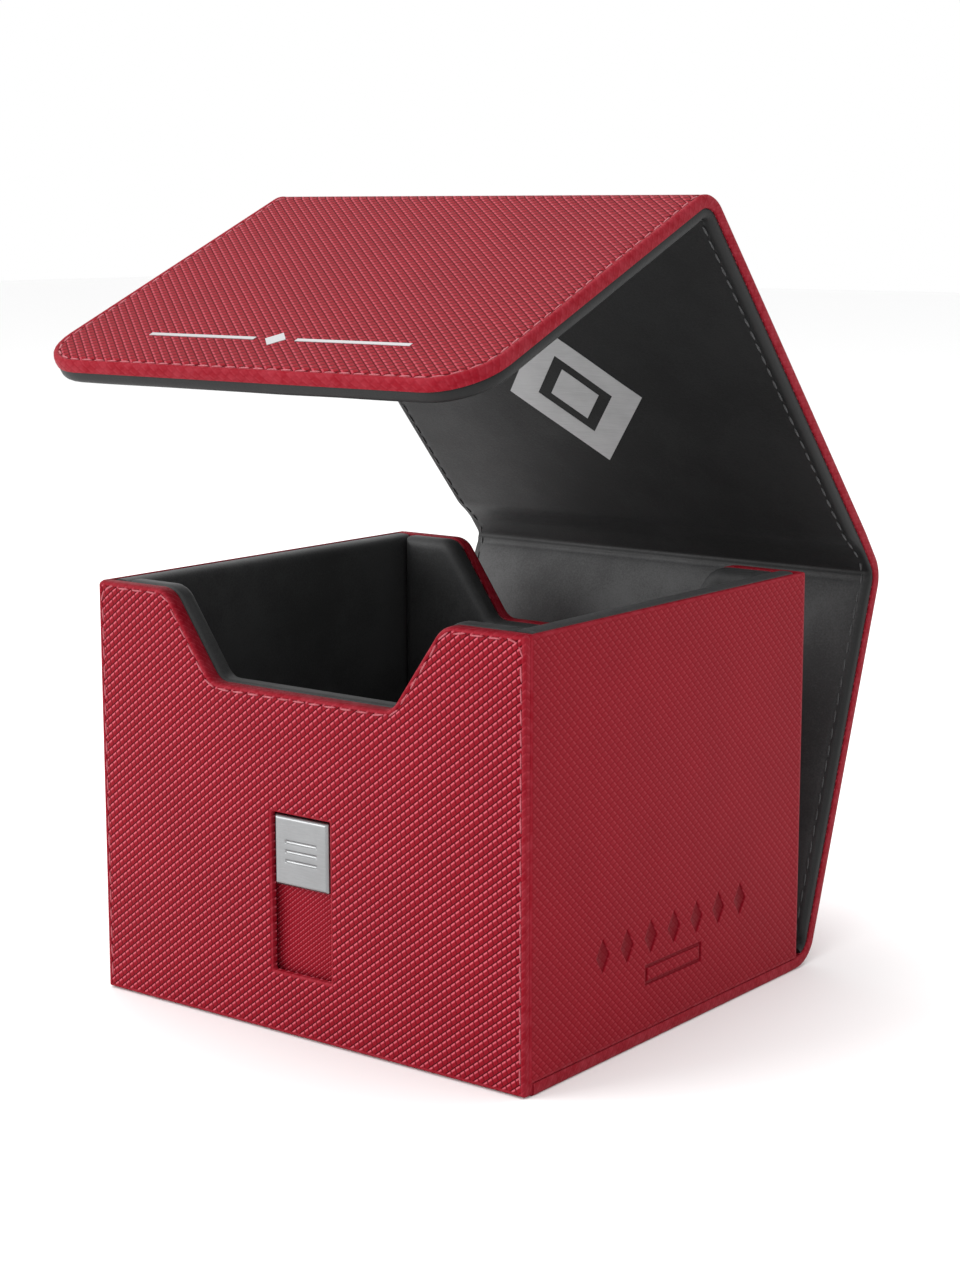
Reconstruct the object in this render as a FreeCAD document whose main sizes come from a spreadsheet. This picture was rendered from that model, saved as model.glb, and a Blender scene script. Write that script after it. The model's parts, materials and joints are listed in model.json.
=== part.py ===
"""Card deck box: a leatherette tray with a padded fold-over cover and a small metal slide.

Frame: +Z up, origin at the middle of the underside, the front of the box faces -Y.
Lengths are millimetres and angles are degrees.

Each cover panel is drawn flat in its own frame: X across the box, Y along the panel away from its
fold, and Z through its thickness, with the leatherette side at -Z and the padded side at +Z.
"""
import FreeCAD, Part
import math
import os
import re
import Sketcher

doc = FreeCAD.newDocument("card_deck_box")

# ---------------------------------------------------------------- driving sizes
SIZES = [
    ("box_width", 106.0, "tray, left to right"),
    ("box_depth", 96.0, "tray, front to back"),
    ("box_height", 84.0, "underside to rim"),
    ("skin_thickness", 1.0, "leatherette face"),
    ("edge_return", 0.9, "leatherette turned round a board's edge"),
    ("end_board", 2.9, "board in the front and back walls"),
    ("side_board", 2.0, "board in the side walls"),
    ("floor_board_thickness", 2.0, "board of the floor"),
    ("base_thickness", 2.5, "cover panel glued under the tray"),
    ("end_pad", 3.5, "suede padding of the front and back walls"),
    ("side_pad", 3.0, "suede padding of the side walls"),
    ("floor_pad", 1.5, "suede padding of the floor"),
    ("pad_drop", 0.6, "padding stops this far below the rim"),
    ("side_cap", 1.1, "padding over the top edge of a side board"),
    ("pad_round", 2.2, "rounding of the padding at the rim"),
    ("front_foot", 0.2, "front wall stops this far above the table"),
    ("notch_top", 68.4, "finger notch, width at the rim"),
    ("notch_bottom", 44.6, "finger notch, width at its floor"),
    ("notch_depth", 17.0, "finger notch, rim to floor"),
    ("notch_round", 4.0, "rounding of the notch's lower corners"),
    ("notch_lip", 5.0, "rounding of the notch's upper corners"),
    ("window_width", 14.6, "slide window"),
    ("window_height", 31.2, "slide window"),
    ("window_sill", 12.6, "slide window, lower edge above the table"),
    ("window_depth", 2.2, "front face to the floor of the slide window"),
    ("channel_ledge", 1.4, "the channel is this much wider than the window, each side"),
    ("strip_thickness", 0.6, "leatherette strip on the channel floor"),
    ("slide_width", 13.4, "metal slide, visible width"),
    ("slide_height", 13.7, "metal slide, visible height"),
    ("slide_gap", 0.4, "slide to the end of its window"),
    ("slide_wing", 1.3, "retaining wing behind the window's edge, each side"),
    ("wing_thickness", 0.7, "retaining wing"),
    ("slide_bevel", 0.45, "bevel round the slide's face"),
    ("running_gap", 0.2, "slide to channel, front and back"),
    ("panel_skin", 2.5, "leatherette half of a cover panel"),
    ("panel_pad", 2.5, "padded half of a cover panel"),
    ("pad_inset", 0.7, "padding stands in from the panel's edge"),
    ("cover_clearance", 0.8, "shut cover to the tray"),
    ("fold_height", 2.8, "rear fold's axis above the table"),
    ("fold_gap", 2.9, "panel end to its fold's axis"),
    ("fold_skin", 1.5, "leatherette half of the soft strip between the two creases"),
    ("fold_pad", 0.7, "lining of the soft strip, inside the creases' axes"),
    ("spine_width", 10.2, "between the two creases of the top rear fold"),
    ("spine_lower_shut", 72.4, "bend of the lower crease with the cover shut"),
    ("flap_length", 79.0, "front fold's axis to the flap's free edge"),
    ("flap_corner", 11.5, "rounding of the flap's free corners"),
    ("lean_rest", 18.5, "back panel's lean from upright as it stands open"),
    ("lower_rest", 57.0, "bend of the lower crease as it stands open"),
    ("upper_rest", 3.0, "bend of the upper crease as it stands open"),
    ("front_rest", 72.0, "bend of the front fold as it stands open"),
    ("seam_inset", 1.4, "stitch line to the edge"),
    ("thread_width", 0.5, "stitching thread"),
    ("thread_height", 0.25, "stitching thread above the surface"),
    ("emblem_width", 34.0, "foil emblem inside the cover"),
    ("emblem_height", 40.0, "foil emblem inside the cover"),
    ("emblem_line", 2.2, "line of the foil emblem"),
    ("foil_thickness", 0.12, "foil prints"),
    ("ornament_length", 63.0, "foil ornament on the flap"),
    ("ornament_height", 5.0, "foil ornament on the flap"),
    ("ornament_line", 1.0, "line of the foil ornament"),
    ("ornament_edge", 12.5, "foil ornament's middle to the flap's free edge"),
    ("magnet_diameter", 12.0, "magnet in the flap"),
    ("magnet_thickness", 1.2, "magnet in the flap"),
    ("fold_round", 2.5, "radius of a folded edge of the cover"),
    ("grip_length", 8.0, "grip groove on the slide"),
    ("grip_width", 0.7, "grip groove on the slide"),
    ("grip_depth", 0.25, "grip groove on the slide"),
    ("grip_pitch", 1.9, "grip groove to the next"),
    ("emblem_reach", 39.5, "upper crease to the emblem's middle"),
    ("side_mark_depth", 0.3, "depth of the debossed ornament on the right wall"),
    ("lozenge_width", 4.2, "debossed lozenge"),
    ("lozenge_height", 6.6, "debossed lozenge"),
    ("lozenge_pitch", 8.0, "lozenge to the next, along the row"),
    ("lozenge_sill", 17.4, "lozenges above the table"),
    ("frame_width", 19.6, "debossed frame below the lozenges"),
    ("frame_height", 4.0, "debossed frame below the lozenges"),
    ("frame_sill", 11.4, "debossed frame above the table"),
    ("frame_line", 0.6, "debossed line"),
]

# ---------------------------------------------------------------- sizes that follow from them
FOLLOWS = [
    ("half_width", "box_width / 2"),
    ("half_depth", "box_depth / 2"),
    ("end_wall", "end_board + skin_thickness"),
    ("half_room", "half_depth - end_wall"),
    ("half_inner", "half_width - skin_thickness - side_board"),
    ("well_width", "2 * (half_inner - side_pad)"),
    ("well_depth", "2 * (half_room - end_pad)"),
    ("floor_top", "base_thickness + floor_board_thickness"),
    ("well_floor", "floor_top + floor_pad"),
    ("pad_top", "box_height - pad_drop"),
    ("notch_floor", "box_height - notch_depth"),
    ("notch_lean", "(notch_top - notch_bottom) / 2 / notch_depth"),
    ("notch_shift", "sqrt(1 + notch_lean ^ 2) - notch_lean"),
    ("window_top", "window_sill + window_height"),
    ("slide_middle", "window_top - slide_gap - slide_height / 2"),
    ("fold_y", "half_depth + cover_clearance + panel_pad"),
    ("lid_z", "box_height + cover_clearance + panel_pad"),
    ("spine_shut", "90 - spine_lower_shut"),
    ("lower_crease_shut_z", "lid_z - spine_width * sin(spine_shut * 1deg)"),
    ("upper_crease_shut_y", "fold_y - spine_width * cos(spine_shut * 1deg)"),
    ("back_length", "lower_crease_shut_z - fold_height"),
    ("top_length", "upper_crease_shut_y + fold_y"),
    ("back_angle", "90 - lean_rest"),
    ("spine_angle", "back_angle + lower_rest"),
    ("top_angle", "spine_angle + upper_rest"),
    ("flap_angle", "top_angle + front_rest"),
    ("lower_y", "fold_y + back_length * cos(back_angle * 1deg)"),
    ("lower_z", "fold_height + back_length * sin(back_angle * 1deg)"),
    ("upper_y", "lower_y + spine_width * cos(spine_angle * 1deg)"),
    ("upper_z", "lower_z + spine_width * sin(spine_angle * 1deg)"),
    ("front_y", "upper_y + top_length * cos(top_angle * 1deg)"),
    ("front_z", "upper_z + top_length * sin(top_angle * 1deg)"),
    ("seam_x", "half_width - seam_inset"),
    ("magnet_reach", "lid_z - slide_middle"),
]

sizes = doc.addObject("Spreadsheet::Sheet", "Sizes")
for row, (alias, value, note) in enumerate(SIZES, start=1):
    sizes.set("A%d" % row, note)
    sizes.set("B%d" % row, str(value))
    sizes.setAlias("B%d" % row, alias)

OWNER = {alias: "Sizes" for alias, value, note in SIZES}
follows = doc.addObject("Spreadsheet::Sheet", "Follows")


def full(text):
    """Write the sheet's name in front of every size that an expression names."""
    return re.sub(r"[A-Za-z_]+", lambda m: OWNER[m[0]] + "." + m[0] if m[0] in OWNER else m[0], text)


for row, (alias, text) in enumerate(FOLLOWS, start=1):
    follows.set("A%d" % row, alias.replace("_", " "))
    follows.set("B%d" % row, "=" + full(text).replace("Follows.", ""))
    follows.setAlias("B%d" % row, alias)
    OWNER[alias] = "Follows"
doc.recompute()


def value(text):
    """The number that an expression gives."""
    result = sizes.evalExpression(full(str(text)))
    return float(getattr(result, "Value", result))


# ---------------------------------------------------------------- ways of making a piece
SHEETS = {"XY": "XY_Plane", "XZ": "XZ_Plane", "YZ": "YZ_Plane"}


def plane(body, name):
    """One of the body's own origin planes."""
    return [f for f in body.Origin.OriginFeatures if f.Role == SHEETS[name]][0]


def outline(body, name, sheet, corners, offset="0"):
    """A closed polygon on an origin plane, every corner tied to the sizes."""
    sketch = body.newObject("Sketcher::SketchObject", name)
    sketch.AttachmentSupport = [(plane(body, sheet), "")]
    sketch.MapMode = "FlatFace"
    sketch.setExpression("AttachmentOffset.Base.z", full(offset))
    points = [FreeCAD.Vector(value(x), value(y), 0) for x, y in corners]
    count = len(points)
    for i in range(count):
        sketch.addGeometry(Part.LineSegment(points[i], points[(i + 1) % count]), False)
    for i in range(count):
        sketch.addConstraint(Sketcher.Constraint("Coincident", i, 2, (i + 1) % count, 1))
    for i, (x, y) in enumerate(corners):
        for kind, text, number in (("DistanceX", x, points[i].x), ("DistanceY", y, points[i].y)):
            index = sketch.addConstraint(Sketcher.Constraint(kind, i, 1, number))
            sketch.setExpression("Constraints[%d]" % index, full(text))
    return sketch


def pad(body, name, sketch, thickness):
    """Raise a sketch into a solid, on the side its plane faces."""
    feature = body.newObject("PartDesign::Pad", name)
    feature.Profile = sketch
    feature.setExpression("Length", full(thickness))
    sketch.Visibility = False
    return feature


def pocket(body, name, sketch, depth, reverse=False):
    """Cut a sketch out of the solid, and make sure that it did cut."""
    doc.recompute()
    before = body.Shape.Volume
    feature = body.newObject("PartDesign::Pocket", name)
    feature.Profile = sketch
    feature.setExpression("Length", full(depth))
    feature.Reversed = reverse
    doc.recompute()
    if not body.Shape.Volume < before - 1e-6:
        raise RuntimeError(name + " cuts nothing")
    return feature


def edges_at(shape, spots, axis):
    """Names of the straight edges along an axis that pass through the given spots."""
    names = []
    across = [i for i in range(3) if i != axis]
    for number, edge in enumerate(shape.Edges, start=1):
        ends = [v.Point for v in edge.Vertexes]
        if len(ends) < 2 or not isinstance(edge.Curve, Part.Line):
            continue
        if max(abs(ends[0][i] - ends[1][i]) for i in across) > 1e-4:
            continue
        for spot in spots:
            if max(abs(ends[0][i] - s) for i, s in zip(across, spot)) < 1e-3:
                names.append("Edge%d" % number)
                break
    return names


def fillet(body, name, spots, radius, axis=2):
    """Round the edges along one axis that stand at the given spots of the other two."""
    doc.recompute()
    base = body.Tip
    spots = [(value(a), value(b)) for a, b in spots]
    names = edges_at(base.Shape, spots, axis)
    if len(names) < len(spots):
        raise RuntimeError(name + " misses an edge")
    feature = body.newObject("PartDesign::Fillet", name)
    feature.Base = (base, names)
    feature.setExpression("Radius", full(radius))
    doc.recompute()
    return feature


def new_body(name):
    body = doc.addObject("PartDesign::Body", name)
    body.Label = name
    return body


def rectangle(x0, x1, y0, y1):
    return [(x0, y0), (x1, y0), (x1, y1), (x0, y1)]


def slab(name, x, y, z):
    """A plain board or pad between the given limits."""
    body = new_body(name)
    sketch = outline(body, name + "_outline", "XY", rectangle(x[0], x[1], y[0], y[1]), z[0])
    pad(body, name + "_pad", sketch, "(%s) - (%s)" % (z[1], z[0]))
    return body


def box(name, x, y, z):
    """A plain block for the small trims, tied to the sizes."""
    block = doc.addObject("Part::Box", name)
    for prop, axis, (low, high) in (("Length", "x", x), ("Width", "y", y), ("Height", "z", z)):
        block.setExpression(prop, full("(%s) - (%s)" % (high, low)))
        block.setExpression("Placement.Base." + axis, full(low))
    return block


def gather(name, parts):
    """Several like solids that make one piece."""
    group = doc.addObject("Part::Compound", name)
    group.Label = name
    group.Links = parts
    return group


pieces = []
PANELS = {
    "back": ("fold_y", "fold_height", "back_angle"),
    "spine": ("lower_y", "lower_z", "spine_angle"),
    "top": ("upper_y", "upper_z", "top_angle"),
    "flap": ("front_y", "front_z", "flap_angle"),
}


def keep(piece):
    pieces.append(piece)
    return piece


def on_panel(piece, panel):
    """Stand a piece that was drawn flat on its panel of the open cover."""
    y, z, angle = PANELS[panel]
    turn = FreeCAD.Rotation(FreeCAD.Vector(1, 0, 0), value(angle))
    piece.Placement = FreeCAD.Placement(FreeCAD.Vector(0, value(y), value(z)), turn)
    piece.setExpression("Placement.Base.y", full(y))
    piece.setExpression("Placement.Base.z", full(z))
    piece.setExpression("Placement.Rotation.Angle", full(angle))
    return keep(piece)


# ---------------------------------------------------------------- tray: floor and side walls
keep(
    slab(
        "floor_board",
        ("-half_inner", "half_inner"),
        ("-half_room", "half_room"),
        ("base_thickness", "floor_top"),
    )
)
keep(
    slab(
        "floor_liner",
        ("-well_width / 2", "well_width / 2"),
        ("-well_depth / 2", "well_depth / 2"),
        ("floor_top", "well_floor"),
    )
)

base_back = "fold_y - fold_gap"
base_skin = slab(
    "base_skin",
    ("-half_width", "half_width"),
    ("-half_room", base_back),
    ("0", "base_thickness"),
)
base_x = ("-half_width + edge_return", "half_width - edge_return")
base_y = ("-half_room + edge_return", base_back + " - edge_return")
bed = outline(
    base_skin,
    "base_bed",
    "XY",
    rectangle(base_x[0], base_x[1], base_y[0], base_y[1]),
    "base_thickness",
)
pocket(base_skin, "base_recess", bed, "base_thickness - skin_thickness")
keep(base_skin)
keep(slab("base_board", base_x, base_y, ("skin_thickness", "base_thickness")))



def deboss(skin):
    """A row of lozenges with a small frame below them, pressed into the side wall."""
    level = "half_width - side_mark_depth"
    for number in range(7):
        middle = "(%d) * lozenge_pitch" % (number - 3)
        tall = ("lozenge_sill", "lozenge_sill + lozenge_height / 2", "lozenge_sill + lozenge_height")
        corners = [
            (middle, tall[0]),
            (middle + " + lozenge_width / 2", tall[1]),
            (middle, tall[2]),
            (middle + " - lozenge_width / 2", tall[1]),
        ]
        mark = outline(skin, "lozenge_outline_%d" % number, "YZ", corners, level)
        pocket(skin, "lozenge_%d" % number, mark, "side_mark_depth", reverse=True)
    for name, inset in (("frame", "0"), ("field", "frame_line")):
        corners = rectangle(
            "-frame_width / 2 + " + inset,
            "frame_width / 2 - " + inset,
            "frame_sill + " + inset,
            "frame_sill + frame_height - " + inset,
        )
        mark = outline(skin, name + "_outline", "YZ", corners, level)
        if name == "frame":
            pocket(skin, "frame_cut", mark, "side_mark_depth", reverse=True)
        else:
            pad(skin, "frame_field", mark, "side_mark_depth")


for side, sign in (("left", "-"), ("right", "")):
    inward = "(%s1)" % sign
    skin_x = [inward + " * (half_width - skin_thickness)", inward + " * half_width"]
    board_x = [inward + " * half_inner", inward + " * (half_inner + side_board)"]
    pad_x = [inward + " * (half_inner - side_pad)", inward + " * half_inner"]
    if side == "left":
        skin_x, board_x, pad_x = skin_x[::-1], board_x[::-1], pad_x[::-1]
    walls = ("-half_room", "half_room")
    skin = slab(side + "_skin", skin_x, walls, ("base_thickness", "box_height"))
    if side == "right":
        deboss(skin)
    keep(skin)
    keep(slab(side + "_board", board_x, walls, ("base_thickness", "pad_top - side_cap")))
    liner = new_body(side + "_liner")
    wall = outline(
        liner,
        side + "_liner_outline",
        "XY",
        rectangle(pad_x[0], pad_x[1], "-well_depth / 2", "well_depth / 2"),
        "floor_top",
    )
    pad(liner, side + "_liner_wall", wall, "pad_top - floor_top")
    cap = outline(
        liner,
        side + "_liner_cap_outline",
        "XY",
        rectangle(board_x[0], board_x[1], "-half_room", "half_room"),
        "pad_top - side_cap",
    )
    pad(liner, side + "_liner_cap", cap, "side_cap")
    rim = pad_x[1] if side == "left" else pad_x[0]
    fillet(liner, side + "_liner_rim", [(rim, "pad_top")], "pad_round", axis=1)
    keep(liner)


# ---------------------------------------------------------------- tray: notched end walls
def wall_corners(side, foot, inset):
    """A notched end wall, its top, sides and notch standing in by inset."""
    top_x = "(notch_top / 2 + (%s) * notch_shift)" % inset
    low_x = "(notch_bottom / 2 + (%s) * notch_shift)" % inset
    rim = "(box_height - (%s))" % inset
    low = "(notch_floor - (%s))" % inset
    return [
        ("-(%s)" % side, foot),
        (side, foot),
        (side, rim),
        (top_x, rim),
        (low_x, low),
        ("-" + low_x, low),
        ("-" + top_x, rim),
        ("-(%s)" % side, rim),
    ]


def wall_rounds(body, name, inset):
    """Round the notch's corners to suit a wall that stands in by inset."""
    corners = wall_corners("half_width", "0", inset)
    fillet(body, name + "_lips", [corners[3], corners[6]], "notch_lip - (%s)" % inset, axis=1)
    fillet(body, name + "_corners", [corners[4], corners[5]], "notch_round + (%s)" % inset, axis=1)


def wall(name, side, foot, inset, y, hollow=None):
    """A notched wall between two depths, the nearer one first.

    hollow is the side, foot and inset of a recess, its start, its depth and whether it cuts forward.
    """
    body = new_body(name)
    sketch = outline(body, name + "_outline", "XZ", wall_corners(side, foot, inset), "-(%s)" % y[1])
    pad(body, name + "_pad", sketch, "(%s) - (%s)" % (y[1], y[0]))
    if hollow:
        corners = wall_corners(hollow[0], hollow[1], hollow[2])
        bed = outline(body, name + "_bed", "XZ", corners, "-(%s)" % hollow[3])
        pocket(body, name + "_recess", bed, hollow[4], reverse=hollow[5])
        wall_rounds(body, name + "_recess", hollow[2])
    wall_rounds(body, name, inset)
    return body


def end_wall(end, foot):
    """The leatherette, board, padding and stitching of the front or the back wall."""
    front = end == "front"
    skin_y = ("-half_depth", "-half_room") if front else ("half_room", "half_depth")
    inner_y = skin_y[1] if front else skin_y[0]
    board_side = "half_width - edge_return"
    board_foot = foot + " + edge_return"
    recess = (board_side, board_foot, "edge_return", inner_y, "end_board", front)
    skin = wall(end + "_skin", "half_width", foot, "0", skin_y, recess)
    board_y = (
        ("-half_depth + skin_thickness", "-half_room")
        if front
        else ("half_room", "half_depth - skin_thickness")
    )
    board = wall(end + "_board", board_side, board_foot, "edge_return", board_y)
    if front:
        opening = outline(
            skin,
            "window",
            "XZ",
            rectangle("-window_width / 2", "window_width / 2", "window_sill", "window_top"),
            "half_depth",
        )
        pocket(skin, "window_cut", opening, "skin_thickness")
        channel = outline(
            board,
            "channel",
            "XZ",
            rectangle(
                "-window_width / 2 - channel_ledge",
                "window_width / 2 + channel_ledge",
                "window_sill - channel_ledge",
                "window_top + channel_ledge",
            ),
            "half_depth - skin_thickness",
        )
        pocket(board, "channel_cut", channel, "window_depth + strip_thickness - skin_thickness")
    keep(skin)
    keep(board)
    pad_y = ("-half_room", "-half_room + end_pad") if front else ("half_room - end_pad", "half_room")
    keep(wall(end + "_liner", "half_inner", "floor_top", "pad_drop", pad_y))
    seam_y = (
        ("-half_depth - thread_height", "-half_depth")
        if front
        else ("half_depth", "half_depth + thread_height")
    )
    outer = "seam_inset - thread_width / 2"
    inner = "seam_inset + thread_width / 2"
    side = "half_width - (%s)"
    inside = (side % inner, foot, inner, seam_y[0], "thread_height", False)
    keep(wall(end + "_seam", side % outer, foot + " + seam_inset", outer, seam_y, inside))


end_wall("front", "front_foot")
end_wall("back", "base_thickness")

# ---------------------------------------------------------------- the metal slide and its channel
strip_y = "-half_depth + window_depth"
keep(
    slab(
        "channel_strip",
        ("-window_width / 2 - channel_ledge", "window_width / 2 + channel_ledge"),
        (strip_y, strip_y + " + strip_thickness"),
        ("window_sill - channel_ledge", "window_top + channel_ledge"),
    )
)

slide = new_body("slide_plate")
slide_z = ("slide_middle - slide_height / 2", "slide_middle + slide_height / 2")
slide_back = "-(half_depth - window_depth + running_gap)"
slide_face = "-(half_depth - running_gap)"
plate = outline(
    slide,
    "slide_outline",
    "XZ",
    rectangle("-slide_width / 2", "slide_width / 2", slide_z[0], slide_z[1]),
    "-" + slide_back,
)
pad(slide, "slide_body", plate, "window_depth - 2 * running_gap")
wings = outline(
    slide,
    "slide_wing_outline",
    "XZ",
    rectangle(
        "-slide_width / 2 - slide_wing", "slide_width / 2 + slide_wing", slide_z[0], slide_z[1]
    ),
    "-" + slide_back,
)
pad(slide, "slide_wings", wings, "wing_thickness")
for number in range(3):
    middle = "slide_middle + (%d) * grip_pitch" % (number - 1)
    groove = outline(
        slide,
        "grip_outline_%d" % number,
        "XZ",
        rectangle(
            "-grip_length / 2",
            "grip_length / 2",
            middle + " - grip_width / 2",
            middle + " + grip_width / 2",
        ),
        "-" + slide_face,
    )
    pocket(slide, "grip_%d" % number, groove, "grip_depth")
doc.recompute()
base = slide.Tip
face_y = value(slide_face)
half = value("slide_width / 2")
ends = [value(z) for z in slide_z]
names = edges_at(base.Shape, [(face_y, z) for z in ends], 0)
names += edges_at(base.Shape, [(x, face_y) for x in (-half, half)], 2)
bevel = slide.newObject("PartDesign::Chamfer", "slide_bevel_cut")
bevel.Base = (base, names)
bevel.setExpression("Size", full("slide_bevel"))
keep(slide)


# ---------------------------------------------------------------- cover panels
def seam_lines(name, panel, y, face):
    """Stitching along both long edges of a panel, on its outer or its padded face."""
    z = ("-panel_skin - thread_height", "-panel_skin")
    if face == "inner":
        z = ("panel_pad", "panel_pad + thread_height")
    rows = []
    for side, sign in (("left", "-1"), ("right", "1")):
        middle = "(%s) * seam_x" % sign
        x = (middle + " - thread_width / 2", middle + " + thread_width / 2")
        rows.append(box("%s_%s" % (name, side), x, y, z))
    on_panel(gather(name, rows), panel)


def panel_plate(panel, piece, inset, z, y, free_end, recess=None):
    """A flat layer of a panel; recess is the inset, start and depth of a cut in its padded side."""
    body = new_body("%s_cover_%s" % (panel, piece))
    rounds = []

    def layer(name, margin, level):
        x = ("-half_width + (%s)" % margin, "half_width - (%s)" % margin)
        far = "%s - (%s)" % (y[1], margin)
        sketch = outline(body, name, "XY", rectangle(x[0], x[1], "%s + (%s)" % (y[0], margin), far), level)
        rounds.append(([(x[0], far), (x[1], far)], "flap_corner - (%s)" % margin))
        return sketch

    pad(body, body.Label + "_pad", layer(body.Label + "_outline", inset, z[0]), "(%s) - (%s)" % (z[1], z[0]))
    if recess:
        bed = layer(body.Label + "_bed", recess[0], recess[1])
        pocket(body, body.Label + "_recess", bed, recess[2])
    if free_end:
        for number, (spots, radius) in enumerate(reversed(rounds)):
            fillet(body, "%s_round_%d" % (body.Label, number), spots, radius)
    return body


def cover_panel(panel, length, free_end):
    """Leatherette, board and padding of one stiff panel, from its fold to its far end."""
    y = ("fold_gap", length if free_end else length + " - fold_gap")
    turned = ("edge_return", "0", "panel_skin - skin_thickness")
    on_panel(panel_plate(panel, "skin", "0", ("-panel_skin", "0"), y, free_end, turned), panel)
    board_z = ("-panel_skin + skin_thickness", "0")
    board = panel_plate(panel, "board", "edge_return", board_z, y, free_end)
    if free_end:
        seat = board.newObject("Sketcher::SketchObject", "magnet_seat")
        seat.AttachmentSupport = [(plane(board, "XY"), "")]
        seat.MapMode = "FlatFace"
        centre = FreeCAD.Vector(0, value("magnet_reach"), 0)
        seat.addGeometry(Part.Circle(centre, FreeCAD.Vector(0, 0, 1), value("magnet_diameter / 2")))
        seat.addConstraint(Sketcher.Constraint("DistanceX", 0, 3, 0.0))
        index = seat.addConstraint(Sketcher.Constraint("DistanceY", 0, 3, centre.y))
        seat.setExpression("Constraints[%d]" % index, full("magnet_reach"))
        index = seat.addConstraint(Sketcher.Constraint("Diameter", 0, value("magnet_diameter")))
        seat.setExpression("Constraints[%d]" % index, full("magnet_diameter"))
        pocket(board, "magnet_seat_cut", seat, "magnet_thickness")
    on_panel(board, panel)
    pad_y = y if not free_end else (y[0] + " - pad_inset", y[1])
    on_panel(panel_plate(panel, "liner", "pad_inset", ("0", "panel_pad"), pad_y, free_end), panel)
    return y


for panel, length in (("back", "back_length"), ("top", "top_length")):
    y = cover_panel(panel, length, False)
    run = (y[0] + " + thread_width", y[1] + " - thread_width")
    seam_lines(panel + "_cover_seam", panel, run, "outer")
    seam_lines(panel + "_cover_pad_seam", panel, run, "inner")

cover_panel("flap", "flap_length", True)
for suffix, z in (("seam", "-panel_skin - thread_height"), ("pad_seam", "panel_pad")):
    seam = new_body("flap_cover_" + suffix)
    rounds = []
    for step, inset in enumerate(("seam_inset - thread_width / 2", "seam_inset + thread_width / 2")):
        x = ("-half_width + " + inset, "half_width - (%s)" % inset)
        far = "flap_length - (%s)" % inset
        near = "fold_gap + thread_width - %d" % step
        level = z + (" + thread_height" if step else "")
        corners = rectangle(x[0], x[1], near, far)
        sketch = outline(seam, "%s_outline_%d" % (seam.Label, step), "XY", corners, level)
        if step:
            pocket(seam, seam.Label + "_cut", sketch, "thread_height")
        else:
            pad(seam, seam.Label + "_pad", sketch, "thread_height")
        rounds.append(([(x[0], far), (x[1], far)], "flap_corner - (%s)" % inset))
    for number, (spots, radius) in enumerate(reversed(rounds)):
        fillet(seam, "%s_round_%d" % (seam.Label, number), spots, radius)
    on_panel(seam, "flap")

disc = doc.addObject("Part::Cylinder", "magnet_disc")
disc.setExpression("Radius", full("magnet_diameter / 2"))
disc.setExpression("Height", full("magnet_thickness"))
disc.setExpression("Placement.Base.y", full("magnet_reach"))
disc.setExpression("Placement.Base.z", full("-magnet_thickness"))
on_panel(gather("flap_magnet", [disc]), "flap")

# ---------------------------------------------------------------- folds
for name, panel, middle in (("rear_fold", "back", "0"), ("front_fold", "top", "top_length")):
    roll = doc.addObject("Part::Cylinder", name + "_roll")
    roll.setExpression("Radius", full("fold_round"))
    roll.setExpression("Height", full("box_width"))
    roll.Placement.Rotation = FreeCAD.Rotation(FreeCAD.Vector(0, 1, 0), 90)
    roll.setExpression("Placement.Base.x", full("-half_width"))
    roll.setExpression("Placement.Base.y", full(middle))
    on_panel(gather(name, [roll]), panel)

for face, low, high in (
    ("skin", "-fold_round", "-fold_round + fold_skin"),
    ("liner", "-fold_round + fold_skin", "fold_pad"),
):
    rolls = []
    for number, middle in enumerate(("0", "spine_width")):
        roll = doc.addObject("Part::Cylinder", "spine_%s_roll_%d" % (face, number))
        roll.setExpression("Radius", full("fold_round"))
        roll.setExpression("Height", full("box_width"))
        roll.Placement.Rotation = FreeCAD.Rotation(FreeCAD.Vector(0, 1, 0), 90)
        roll.setExpression("Placement.Base.x", full("-half_width"))
        roll.setExpression("Placement.Base.y", full(middle))
        rolls.append(roll)
    x = ("-half_width", "half_width")
    rolls.append(box("spine_%s_strip" % face, x, ("0", "spine_width"), ("-fold_round", "fold_round")))
    whole = doc.addObject("Part::MultiFuse", "spine_%s_whole" % face)
    whole.Shapes = rolls
    y = ("-2 * fold_round", "spine_width + 2 * fold_round")
    half = box("spine_%s_half" % face, x, y, (low, high))
    layer = doc.addObject("Part::Common", "spine_cover_" + face)
    layer.Base = whole
    layer.Tool = half
    layer.Label = "spine_cover_" + face
    on_panel(layer, "spine")

# ---------------------------------------------------------------- foil prints
emblem = new_body("top_emblem")
for step, inset in enumerate(("0", "emblem_line")):
    across = "(emblem_width / 2 - (%s))" % inset
    along = "(emblem_height / 2 - (%s))" % inset
    corners = [
        (across, "emblem_reach"),
        ("0", "emblem_reach + " + along),
        ("-" + across, "emblem_reach"),
        ("0", "emblem_reach - " + along),
    ]
    level = "panel_pad" + (" + foil_thickness" if step else "")
    sketch = outline(emblem, "emblem_outline_%d" % step, "XY", corners, level)
    if step:
        pocket(emblem, "emblem_cut", sketch, "foil_thickness")
    else:
        pad(emblem, "emblem_pad", sketch, "foil_thickness")
on_panel(emblem, "top")

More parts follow.
